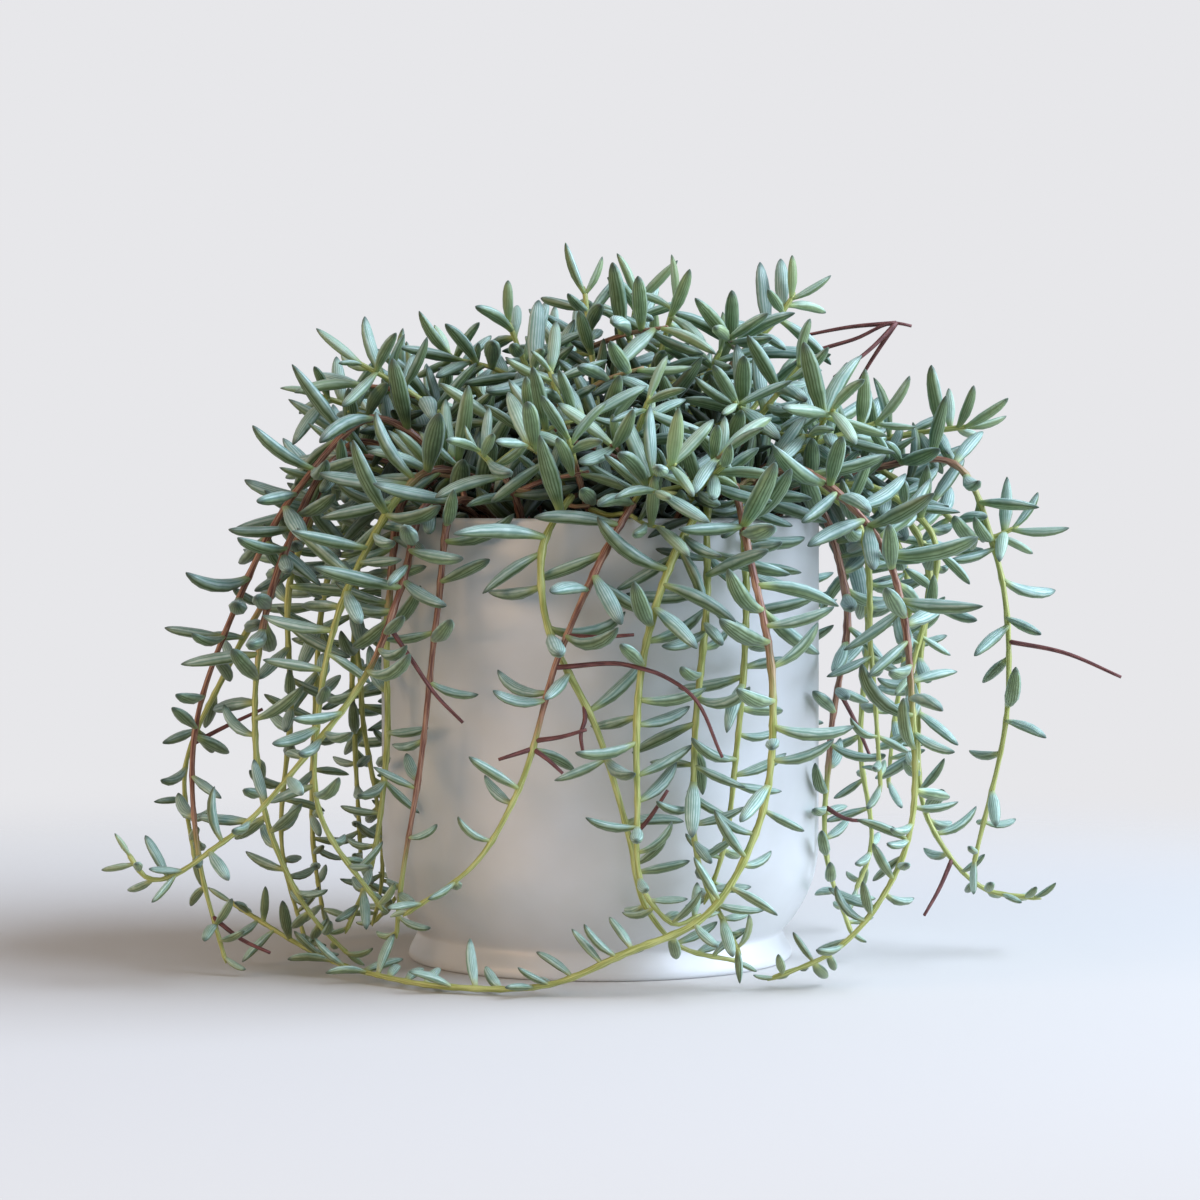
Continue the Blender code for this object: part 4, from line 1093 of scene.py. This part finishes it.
# %% Grow the leaves
LEAF_GAP = 0.35
FLOOR_CLEAR = 0.3
OWN_STEM_REACH = 7.5
SEARCH_REACH = 8.0
TURNS = np.radians([0, 22, -22, 45, -45, 70, -70, 100, -100, 135, 180])
SHRINKS = np.array([1.0, 0.88, 0.74, 0.6])


def grow_leaves(stems, twigs, spacings, habit, seed, leaves=()):
    """Leaves along all stems, each turned or shortened until it clears what is there already.

    Leaves grow in turn, from the tips of all the stems back to the soil. One that never clears is
    left out. Leaves given are kept, and only new ones are returned. The habit sets their spread,
    how low they may start, and how long they are at least.
    """
    names = list(stems)
    plans, frames = [], []
    for k, name in enumerate(names):
        line = stems[name][0]
        frames.append(stem_frames(line))
        bare, *spacing = spacings(name)
        hanging = name.startswith("stem") and "/" not in name
        draw = np.random.default_rng([seed, k])
        sites = leaf_sites(hanging, line, bare, spacing, habit["spread"], draw)
        plans += [(rank, k, site) for rank, site in enumerate(sites)]
    at, who, big, used = beads_there(stems, twigs, leaves, len(plans) * len(BEAD_SHARES))
    extra, shrink = np.tile(TURNS, len(SHRINKS)), np.repeat(SHRINKS, len(TURNS))
    grown = []
    for rank, k, site in sorted(plans, key=lambda plan: plan[:2]):
        place, turn, lean, bend, length, roll = site
        along, across, beyond = (f[place] for f in frames[k])
        root = stems[names[k]][0][place]
        length *= habit["side_stretch"] if "/" in names[k] else 1.0
        length = max(length, habit["shortest"])
        lowest = habit["lowest"] if rank else habit["lowest_at_tip"]
        far = np.linalg.norm(at[:used] - root, axis=1)
        others = (who[:used] != k) | (far >= OWN_STEM_REACH)
        near = np.nonzero((far < length + SEARCH_REACH) & others)[0]
        radial = across * np.cos(turn + extra)[:, None] + beyond * np.sin(turn + extra)[:, None]
        start = radial * math.cos(lean) + along * math.sin(lean)
        size = length * shrink
        points = blade_axis(root, start, bend, size, BEAD_SHARES)[0]
        half = 0.5 * (LEAF_FOOTING + LEAF_PLUMPNESS * size)
        wide = half[:, None] * BEAD_WIDTHS
        clear = (start[:, 2] >= lowest) & ((points[..., 2] - wide).min(axis=1) >= FLOOR_CLEAR)
        gap = np.linalg.norm(points[:, :, None] - at[near], axis=3) - wide[..., None] - big[near]
        clear &= gap.min(axis=(1, 2), initial=np.inf) >= LEAF_GAP
        wall_gap = pot_gap(points.reshape(-1, 3))[0].reshape(wide.shape) - wide
        clear &= wall_gap.min(axis=1) >= LEAF_GAP
        if clear.any():
            best = int(clear.argmax())
            grown.append(dict(stem=names[k], place=place, root=root, start=start[best], bend=bend,
                              length=size[best], half=half[best], roll=roll,
                              beads=points[best], wide=wide[best]))
            new = slice(used, used + len(BEAD_SHARES))
            at[new], big[new] = points[best], wide[best]
            used += len(BEAD_SHARES)
    return grown


print("kept clear of each other by", LEAF_GAP, "mm")

# %% [markdown]
# The crown of the real plant branches. Its side shoots are thin and green, and are left to this
# script, because the solids need only the main stems. Each starts on a stem above the soil.

# %% Side shoots of the crown
SIDE_THICKNESS = (0.95, 0.55)
SIDE_REACH = (20.0, 36.0)
SIDE_RISE = (-6.0, 18.0)
SIDE_TURN = 2.4
SIDE_LIMIT = 94.0
SIDE_MIDDLE = (0.45, 0.65)
SIDES_OF = {"shoot": 3, "stem": 1}
SIDES_NEED = 3
SIDES_ABOVE = 12.0
SIDES_BELOW_TIP = 0.75


def side_routes():
    """Routes of side shoots: each starts on a stem and reaches out, a little up or down.

    The middle point is nearer to the start and most of the way up, so that a shoot bends over.
    One that would end too far from the pot's axis is left out.
    """
    draw = np.random.default_rng(SEED + 2)
    routes = []
    for name, (line, _) in stems.items():
        along = np.arange(len(line)) / len(line)
        above = np.nonzero((line[:, 2] > SOIL_TOP + SIDES_ABOVE) & (along < SIDES_BELOW_TIP))[0]
        for _ in range(SIDES_OF[name.split("_")[0]]):
            if len(above) < SIDES_NEED:
                continue
            start = line[draw.choice(above)]
            turn = math.atan2(start[1], start[0]) + draw.uniform(-SIDE_TURN, SIDE_TURN)
            way = np.array([math.cos(turn), math.sin(turn), 0.0])
            reach, rise = draw.uniform(*SIDE_REACH), draw.uniform(*SIDE_RISE)
            middle = start + SIDE_MIDDLE[0] * reach * way + (0.0, 0.0, SIDE_MIDDLE[1] * rise)
            end = start + reach * way + (0.0, 0.0, rise)
            if math.hypot(end[0], end[1]) < SIDE_LIMIT:
                routes.append((name, [tuple(start), tuple(middle), tuple(end)]))
    return routes


sides = side_lines(stems, side_routes(), SIDE_THICKNESS)
growing = dict(stems)
for name, own in sides.items():
    for k, line in enumerate(own):
        growing["%s/%d" % (name, k)] = (line, np.linspace(*SIDE_THICKNESS, len(line)))
print("side shoots", len(growing) - len(stems))

# %% [markdown]
# Leaves grow in two goes. The first gives the leaves that the solids hold as well, far apart.
# The second keeps them, takes closer spacings and fills the gaps between them. A spacing is the
# leafless foot of a stem, then the steps from leaf to leaf at the rim and low on a hanging stem.
# Stems that the photograph shows sparse or dense get their own. A habit is how far leaves spread
# to the sides, how steeply down they may start, as a sine, and how long they are at least.

# %% All leaves
SOLID_SPACING = (22.0, 13.4, 34.0)
SIDE_SPACING = (5.0, 4.5, 4.5)
CLOSE_SPACING = (10.0, 4.5, 8.0)
SPARSE_SPACING = (22.0, 12.0)
SPARSE_STEMS = {"stem_front_1": 16.0, "stem_front_2": 16.0, "stem_front_3": 16.0,
                "stem_right_1": 14.0, "stem_left_1": 11.0, "stem_left_2": 11.0}
DENSE_STEMS = {"stem_right_3": 4.5, "stem_front_6": 7.0, "stem_right_5": 7.0}
SOLID_HABIT = {"spread": SIDE_SPREAD, "lowest": -0.72, "lowest_at_tip": -0.72,
               "side_stretch": 1.0, "shortest": 0.0}
CLOSE_HABIT = {"spread": 40.0, "lowest": -0.56, "lowest_at_tip": -1.0,
               "side_stretch": 1.2, "shortest": 11.0}


def solid_spacing(name):
    """Spacing of the leaves that the solids hold, the same on every stem."""
    return SOLID_SPACING


def close_spacing(name):
    """Spacing of the leaves that fill up between them. Side shoots have a stroke in their name."""
    if "/" in name:
        return SIDE_SPACING
    if name in SPARSE_STEMS:
        return *SPARSE_SPACING, SPARSE_STEMS[name]
    return *CLOSE_SPACING[:2], DENSE_STEMS.get(name, CLOSE_SPACING[2])


leaves = grow_leaves(stems, twigs, solid_spacing, SOLID_HABIT, SEED)
more = grow_leaves(growing, twigs, close_spacing, CLOSE_HABIT, SEED + 1, leaves)
print("leaves as in the solids", len(leaves), "more leaves", len(more))

# %% [markdown]
# A leaf deep in the mound gets little light. The gaps between leaves go dark in a render by
# themselves, but the leaf's own colour doesn't, so its shade is painted into the colour too, as a
# near-black olive. Rays cast from every leaf would tell how much light it gets. Adding up the
# leaves that lie near one ray towards the light is nearly as good, and is one sum over arrays.

# %% Painted shade among the leaves
SHADE_MARKS = [0, 2, 5]
SHADE_CASTERS = [1, 3, 5]
SHADE_START = 3.0
SHADE_REACH = 40.0
SHADE_WIDTH = 7.0
SHADE_FROM_TO = (0.52, 0.95)
SHADE_BLOCK = 300


def leaf_shade(leaves):
    """How far leaves lie in the shade of others, from 0 to 1, at foot, middle and tip.

    Light falls from above, and more from outside the farther a leaf is from the pot's axis. Of
    every other leaf three beads count, each by exp(-(distance from the ray / width)^2).
    """
    beads = np.array([leaf["beads"] for leaf in leaves])
    marks = beads[:, SHADE_MARKS].reshape(-1, 3)
    around = beads[:, SHADE_CASTERS].reshape(-1, 3)
    number = np.repeat(np.arange(len(leaves)), len(SHADE_MARKS))
    light = unit(marks * (1.0 / POT_RADIUS, 1.0 / POT_RADIUS, 0.0) + (0.0, 0.0, 1.0))
    cover = np.empty(len(marks))
    for first in range(0, len(marks), SHADE_BLOCK):
        part = slice(first, first + SHADE_BLOCK)
        apart = around - marks[part, None]
        ahead = (apart * light[part, None]).sum(axis=2)
        aside = (apart ** 2).sum(axis=2) - ahead ** 2
        counted = (ahead > SHADE_START) & (ahead < SHADE_REACH) & (number != number[part, None])
        cover[part] = (np.exp(-aside / SHADE_WIDTH ** 2) * counted).sum(axis=1)
    low, high = np.quantile(cover, SHADE_FROM_TO)
    return smooth_step((cover - low) / (high - low)).reshape(-1, 3)


# Painted shade: how far each leaf is covered from the light, which darkens its colour in the leaf
# skin.
for leaf, shade in zip(leaves + more, leaf_shade(leaves + more)):
    leaf["shade"] = shade
print("mean shade", round(float(np.mean([leaf["shade"] for leaf in leaves + more])), 2))

# %% [markdown]
# A fishhook leaf is a plump, bent spindle: a narrow foot, nearly parallel sides, a pointed tip, a
# back that is rounder than its upper side. Sculpting one and copying it would repeat its bend.
# Here every blade is the same function of two parameters, the share along it and the angle round
# it, with its own bend, twist and bluntness. Its width comes first.

# %% Blade width
NARROW_FOOT = 0.45
WIDE_FROM = 0.42
TAPERS_FROM = 0.45
TAPER_POWER = 0.7


def blade_width(share, blunt):
    """Width along a blade: a smooth step from the narrow foot up to 1, times the taper.

    The taper is (1 - x^blunt)^power, where x goes from 0 where it begins to 1 at the tip.
    """
    foot = NARROW_FOOT + (1.0 - NARROW_FOOT) * smooth_step(share / WIDE_FROM)
    toe = np.clip((share - TAPERS_FROM) / (1.0 - TAPERS_FROM), 0.0, 1.0)
    return foot * (1.0 - toe ** blunt) ** TAPER_POWER


print("width at the middle", round(float(blade_width(0.5, 2.0)), 3))

# %% [markdown]
# All blades of a stem are worked out at once: one array holds the points of every ring of every
# blade. A loop over the leaves would do the same work many times slower.

# %% Blade surfaces
BLADE_SIDES = 8
BLADE_SHARES = np.array([0.015, 0.08, 0.21, 0.38, 0.56, 0.73, 0.86, 0.945, 0.986])
SLIMMER = 0.94
UPPER_DEPTH = 0.60
UNDER_DEPTH = 0.86
BLUNTNESS = (1.9, 3.6)
ROLL_PART = 0.6
TWIST = 0.4


def blade_surfaces(blades, seed):
    """All blades of a stem: points, faces and two vectors for each point.

    Round a blade's axis a section is half * width * (cos a, depth * sin a), turned by the roll
    and a twist. The first vector is (cos a, share along the blade, sin a). The second is a tone,
    the blade's youth, and how low it sits less its shade.
    """
    draw = np.random.default_rng(seed)
    count, rings = len(blades), len(BLADE_SHARES)
    root, start, bend, length, half, roll, youth, low, shade = (
        np.array([blade[key] for blade in blades])
        for key in ("root", "start", "bend", "length", "half", "roll", "youth", "low", "shade"))
    blunt = draw.uniform(*BLUNTNESS, (count, 1))
    turn = ROLL_PART * roll[:, None] + draw.uniform(-TWIST, TWIST, (count, 1)) * BLADE_SHARES
    axis, course, face, width = blade_axis(root, start, bend, length, BLADE_SHARES)
    wide = np.cos(turn)[..., None] * width + np.sin(turn)[..., None] * face
    high = np.cos(turn)[..., None] * face - np.sin(turn)[..., None] * width
    thick = SLIMMER * half[:, None] * blade_width(BLADE_SHARES, blunt)
    angle = 2.0 * math.pi * np.arange(BLADE_SIDES) / BLADE_SIDES
    up = np.where(np.sin(angle) > 0.0, UPPER_DEPTH, UNDER_DEPTH) * np.sin(angle)
    ring = np.cos(angle)[:, None] * wide[:, :, None] + up[:, None] * high[:, :, None]
    points = axis[:, :, None] + thick[..., None, None] * ring
    ends = blade_axis(root, start, bend, length, np.array([0.0, 1.0]))[0]
    points = np.concatenate([points.reshape(count, -1, 3), ends], axis=1)

    around = np.stack([np.cos(angle), 0.0 * angle, np.sin(angle)], axis=1)
    course_of = np.broadcast_to(around, (rings, BLADE_SIDES, 3)).copy()
    course_of[..., 1] = BLADE_SHARES[:, None]
    course_of = np.vstack([course_of.reshape(-1, 3), [(0.0, 0.0, 0.0), (0.0, 1.0, 0.0)]])
    growth = np.stack([draw.uniform(0.0, 1.0, count), youth, low], axis=1)
    size = points.shape[1]
    growth = np.repeat(growth, size, axis=0)
    shares = np.append(np.repeat(BLADE_SHARES, BLADE_SIDES), (0.0, 1.0))
    marked = [np.interp(shares, BEAD_SHARES[SHADE_MARKS], row) for row in np.eye(len(SHADE_MARKS))]
    # Painted shade is taken off the third value, so that leaves covered from the light turn dark.
    growth[:, 2] -= (shade @ marked).ravel()
    values = {"course": np.tile(course_of, (count, 1)), "growth": growth}

    first = np.arange(BLADE_SIDES)
    last = first + BLADE_SIDES * (rings - 1)
    quads = grid_faces(rings, BLADE_SIDES)
    fans = np.vstack([fan_faces(first, size - 2, True), fan_faces(last, size - 1, False)])
    shift = size * np.arange(count)[:, None, None]
    faces = (quads + shift).reshape(-1, 4).tolist() + (fans + shift).reshape(-1, 3).tolist()
    return points.reshape(-1, 3), faces, values


print("faces a blade", BLADE_SIDES * (len(BLADE_SHARES) + 1))

# %% [markdown]
# The stems are as thin as string: about 2.5 mm at the soil and 1.3 mm at the tip. Where a leaf
# sits, the stem is a little thicker. The dry twigs are the leafless remains of side shoots.
# A bevelled curve would be quicker to write, but a tube along the same frames as the leaves can
# carry its own age and colour from the soil to the tip.

# %% Stem and twig surfaces
STEM_FACETS = 8
TWIG_FACETS = 6
KNOT_SWELL = 0.22
KNOT_REACH = 1.6
UNEVEN = 0.05
UNEVEN_OVER = 5
UNEVEN_ROOT = 2.2
LAST_POINT = 0.35


def tube_surface(line, radii, sides, growth):
    """A closed round tube: line + radius * (cos a across + sin a beyond), and a pole at each end.

    Its course vector is (cos a, millimetres along the tube, sin a).
    """
    _, across, beyond = stem_frames(line)
    angle = 2.0 * math.pi * np.arange(sides) / sides
    ring = np.cos(angle)[:, None] * across[:, None] + np.sin(angle)[:, None] * beyond[:, None]
    points = (line[:, None] + radii[:, None, None] * ring).reshape(-1, 3)
    run = run_along(line)
    course = np.broadcast_arrays(np.cos(angle), run[:, None], np.sin(angle))
    course = np.stack(course, axis=-1).reshape(-1, 3)
    size = len(points)
    points = np.vstack([points, line[:1], line[-1:]])
    course = np.vstack([course, [(0.0, 0.0, 0.0), (0.0, run[-1], 0.0)]])
    growth = np.vstack([np.repeat(growth, sides, axis=0), growth[:1], growth[-1:]])
    faces = grid_faces(len(line), sides).tolist()
    faces += fan_faces(np.arange(sides), size, True).tolist()
    faces += fan_faces(np.arange(size - sides, size), size + 1, False).tolist()
    return points, faces, {"course": course, "growth": growth}


def knotted(line, radii, blades, seed):
    """Stem radii with a swelling of exp(-(distance / reach)^2) at each leaf, and uneven.

    The unevenness sums up a few random steps, over about the root of their number.
    """
    draw = np.random.default_rng(seed)
    uneven = draw.normal(size=len(line) + UNEVEN_OVER - 1)
    uneven = 1.0 + UNEVEN * np.convolve(uneven, np.ones(UNEVEN_OVER) / UNEVEN_ROOT, "valid")
    swell = np.zeros(len(line))
    for blade in blades:
        far = np.linalg.norm(line - blade["root"], axis=1)
        swell = np.maximum(swell, np.exp(-(far / KNOT_REACH) ** 2))
    uneven[-1] *= LAST_POINT
    return radii * uneven * (1.0 + KNOT_SWELL * swell)


print("stem facets", STEM_FACETS)

# %% [markdown]
# The skin of a leaf is green flesh under a grey-blue wax. Fine veins run from foot to tip, and
# the wax lies thicker between them, so the leaf looks pinstriped. Here and there it is rubbed
# off. A painted stripe would need an image for every leaf. A sine of the blade's own value
# across gives stripes that bend with the leaf and meet at its tip, and a noise that follows each
# leaf's own values makes them wander.

# %% Veins and wax
VEINS = 3.2
WANDER = 5.0
WANDER_FACTORS = (2.0, 3.0, 37.0)
RUB_SIZE = 3.5

skin, tree, shader = new_material("waxy_leaf_skin")
blade = parts_of(tree, carried(tree, "course"))
grown = parts_of(tree, carried(tree, "growth"))
place = add_node(tree, "ShaderNodeTexCoord").outputs["Object"]
tone = grown["X"]

wander = add_node(tree, "ShaderNodeCombineXYZ", {"X": blade["X"], "Y": blade["Y"], "Z": tone})
wander = noise(tree, stretch(tree, wander.outputs[0], WANDER_FACTORS), 1.0, 2.0)
phase = maths(tree, "MULTIPLY_ADD", wander, WANDER, tone)
phase = maths(tree, "MULTIPLY_ADD", blade["X"], VEINS * 2.0 * math.pi, phase)
stripe = remap(tree, maths(tree, "SINE", phase), -1.3, 0.9, curve="SMOOTHSTEP")
rubbed = remap(tree, noise(tree, place, RUB_SIZE * MM, 3.0), 0.35, 0.7, 1.0, 0.45)
wax = maths(tree, "MULTIPLY", stripe, rubbed)
print("veins across a leaf", round(2 * VEINS, 1))

# %% [markdown]
# The colour is laid on in layers. Waxed flesh comes first, plainer and greener on the back, where
# it is also painted darker: painted shade on the underside. Then come the yellow-green of young
# leaves and of the foot, the dark tip, and painted shade, a near-black olive over leaves deep in
# the crown. Each leaf is a little lighter or darker than the next, and warmer the lower it hangs.
# Wax scatters light at grazing angles, which sheen gives.

# %% Waxy leaf skin
WAX = "#C3DAD4"
FLESH = "#7AA095"
# The back's colours are greener, with less wax, and also darker as painted shade on the underside.
SHADED_BACK_WAX = "#889F78"
SHADED_BACK_FLESH = "#4C6137"
FOOT = "#A3B36C"
YOUNG = "#B5C98F"
TIP = "#43544A"
# Painted shade: a near-black olive for leaves that other leaves hide from the light.
PAINTED_SHADE = "#1C260A"
SHEEN = "#D5E6EA"

# The upper side is lighter and the back darker: the back's darkness is painted shade, its greener
# tone the leaf's own.
upper = remap(tree, blade["Z"], -0.55, 0.35, curve="SMOOTHSTEP")
top, back = blend(tree, wax, FLESH, WAX), blend(tree, wax, SHADED_BACK_FLESH, SHADED_BACK_WAX)
layers = blend(tree, upper, back, top)
layers = blend(tree, grown["Y"], layers, YOUNG)
near_foot = remap(tree, blade["Y"], 0.03, 0.26, 0.85, 0.0, "SMOOTHSTEP")
layers = blend(tree, near_foot, layers, FOOT)
near_tip = remap(tree, blade["Y"], 0.84, 0.99, 0.0, 0.85, "SMOOTHSTEP")
layers = blend(tree, near_tip, layers, TIP)
# Painted shade: the more a leaf is covered from the light, the more of the near-black colour it
# takes.
inside = remap(tree, grown["Z"], -1.0, 0.0, 0.92, 0.0)
layers = blend(tree, inside, layers, PAINTED_SHADE)
varied = add_node(tree, "ShaderNodeHueSaturation", {
    "Hue": remap(tree, grown["Z"], 0.0, 1.0, 0.505, 0.47),
    "Value": remap(tree, tone, 0.0, 1.0, 0.80, 1.12), "Color": layers})
tree.links.new(varied.outputs["Color"], shader.inputs["Base Color"])
tree.links.new(remap(tree, wax, 0.0, 1.0, 0.38, 0.58), shader.inputs["Roughness"])
add_relief(tree, shader, stripe, 0.35, 0.12)
shader.inputs["IOR"].default_value = 1.45
shader.inputs["Subsurface Weight"].default_value = 0.12
shader.inputs["Subsurface Radius"].default_value = (0.8, 1.0, 0.5)
shader.inputs["Subsurface Scale"].default_value = 1.5 * MM
shader.inputs["Sheen Weight"].default_value = 0.25
shader.inputs["Sheen Roughness"].default_value = 0.4
shader.inputs["Sheen Tint"].default_value = colour(SHEEN)
print("leaf colours", FLESH, "under", WAX)

# %% [markdown]
# The skin of a stem is green and smooth near its tip. With age it turns a brownish mauve, in
# streaks first. Fine lengthwise lines break up both. They are a noise that is stretched along
# the stem by the course that its points carry.

# %% Stem skin
GREEN_STEM = "#BFC57E"
GREEN_LINE = "#929A50"
BROWN_STEM = "#70453B"
BROWN_LINE = "#B28A72"
STEM_LINES = (3.0, 0.12, 3.0)

bark, tree, shader = new_material("succulent_stem_skin")
grown = parts_of(tree, carried(tree, "growth"))
lines = noise(tree, stretch(tree, carried(tree, "course"), STEM_LINES), 1.0, 3.0)
line_share = remap(tree, lines, 0.38, 0.62, curve="SMOOTHSTEP")
green = blend(tree, line_share, GREEN_LINE, GREEN_STEM)
brown = blend(tree, line_share, BROWN_STEM, BROWN_LINE)
patch = maths(tree, "MULTIPLY_ADD", lines, 0.5, grown["Y"])
stem_tone = blend(tree, remap(tree, patch, 0.55, 0.95, curve="SMOOTHSTEP"), green, brown)
tree.links.new(stem_tone, shader.inputs["Base Color"])
add_relief(tree, shader, lines, 0.5, 0.15)
shader.inputs["Roughness"].default_value = 0.30
shader.inputs["IOR"].default_value = 1.45
print("stem colours", GREEN_STEM, "to", BROWN_STEM)

# %% [markdown]
# The twigs are dead and dry: dark, matt and a little rougher, with finer lines.

# %% Dry twig bark
TWIG_DARK = "#4E2A2C"
TWIG_LIGHT = "#8A5550"
TWIG_LINES = (2.5, 0.2, 2.5)

twig_bark, tree, shader = new_material("dry_twig_bark")
lines = noise(tree, stretch(tree, carried(tree, "course"), TWIG_LINES), 1.0, 4.0)
dry = blend(tree, remap(tree, lines, 0.4, 0.62), TWIG_DARK, TWIG_LIGHT)
tree.links.new(dry, shader.inputs["Base Color"])
add_relief(tree, shader, lines, 0.7, 0.2)
shader.inputs["Roughness"].default_value = 0.6
print("twig colours", TWIG_DARK, TWIG_LIGHT)

# %% [markdown]
# A stem, its leaves and its twigs become one piece, as they are one growth and one solid. Parts
# could be joined by an operator at the end. Adding up their arrays first makes each mesh once.

# %% Join the parts of a piece
def join(parts):
    """One mesh's points, faces, material numbers and values from several parts."""
    points, faces, slots, values = [], [], [], {"course": [], "growth": []}
    shift = 0
    for number, (part_points, part_faces, part_values) in parts:
        points.append(part_points)
        faces += [tuple(corner + shift for corner in face) for face in part_faces]
        slots += [number] * len(part_faces)
        for label in values:
            values[label].append(part_values[label])
        shift += len(part_points)
    values = {label: np.vstack(rows) for label, rows in values.items()}
    return np.vstack(points), faces, slots, values


print("materials of a piece: 0", skin.name, "1", bark.name, "2", twig_bark.name)

# %% [markdown]
# How far up each stem has turned brown is read from the photograph for the stems that show, and
# drawn at random for the others. Leaves near a tip are young. Both go to the materials as values
# on the points.

# %% Leafy stems
BROWN_TO = {
    "stem_front_1": 0.85, "stem_front_2": 0.62, "stem_front_3": 0.12, "stem_front_4": 0.12,
    "stem_front_5": 0.30, "stem_front_6": 0.10, "stem_front_7": 0.10, "stem_left_1": 0.85,
    "stem_left_2": 0.60, "stem_left_3": 0.30, "stem_left_4": 0.50, "stem_right_1": 0.45,
    "stem_right_2": 0.30, "stem_right_3": 0.55, "stem_right_4": 0.70,
}
CROWN_BROWN = (0.40, 0.80)
HANGING_BROWN = (0.15, 0.60)
SIDE_BROWN = (0.0, 0.8)
TURN_LENGTH = 0.22
YOUTH = 0.6
YOUTH_REACH = 8.0


def dress_stem(name, number):
    """One stem with its leaves and twigs, as one piece that stands for the stem's solid."""
    line, radii = stems[name]
    draw = np.random.default_rng([SEED, number])
    own = [leaf for leaf in leaves + more if leaf["stem"].split("/")[0] == name]
    run = run_along(line)
    for leaf in own:
        behind = ROUTE_STEP * (len(growing[leaf["stem"]][0]) - 1 - leaf["place"])
        leaf["youth"] = YOUTH * draw.uniform(0.0, 1.0) * math.exp(-behind / YOUTH_REACH)
        leaf["low"] = float(np.clip((POT_HEIGHT - leaf["root"][2]) / POT_HEIGHT, 0.0, 1.0))
    share = run / run[-1]
    browned = CROWN_BROWN if name.startswith("shoot") else HANGING_BROWN
    brown_to = BROWN_TO.get(name, draw.uniform(*browned))
    brown = np.clip((brown_to - share) / TURN_LENGTH + 0.5, 0.0, 1.0)
    tone = np.full(len(line), draw.uniform(0.0, 1.0))
    growth = np.stack([tone, brown, share], axis=1)
    thick = knotted(line, radii, own, [SEED, number, 1])
    parts = [(1, tube_surface(line, thick, STEM_FACETS, growth))]
    if own:
        parts.append((0, blade_surfaces(own, [SEED, number, 2])))
    for side in sides.get(name, []):
        thin = np.linspace(*SIDE_THICKNESS, len(side))
        young = np.tile((tone[0], draw.uniform(*SIDE_BROWN), 0.5), (len(side), 1))
        parts.append((1, tube_surface(side, thin, TWIG_FACETS, young)))
    for twig in twigs.get(name, []):
        thin = np.linspace(TWIG_RADIUS, TWIG_TIP, len(twig))
        parts.append((2, tube_surface(twig, thin, TWIG_FACETS, np.zeros((len(twig), 3)))))
    points, faces, slots, values = join(parts)
    piece = make_piece("leafy_" + name, points, faces, [skin, bark, twig_bark], slots, values)
    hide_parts(name)
    return len(own), sum(len(face) - 2 for face in faces)


counts = [dress_stem(name, number) for number, name in enumerate(stems)]
print("leaves", sum(c[0] for c in counts), "triangles", sum(c[1] for c in counts))
print("most triangles in one piece", max(c[1] for c in counts))
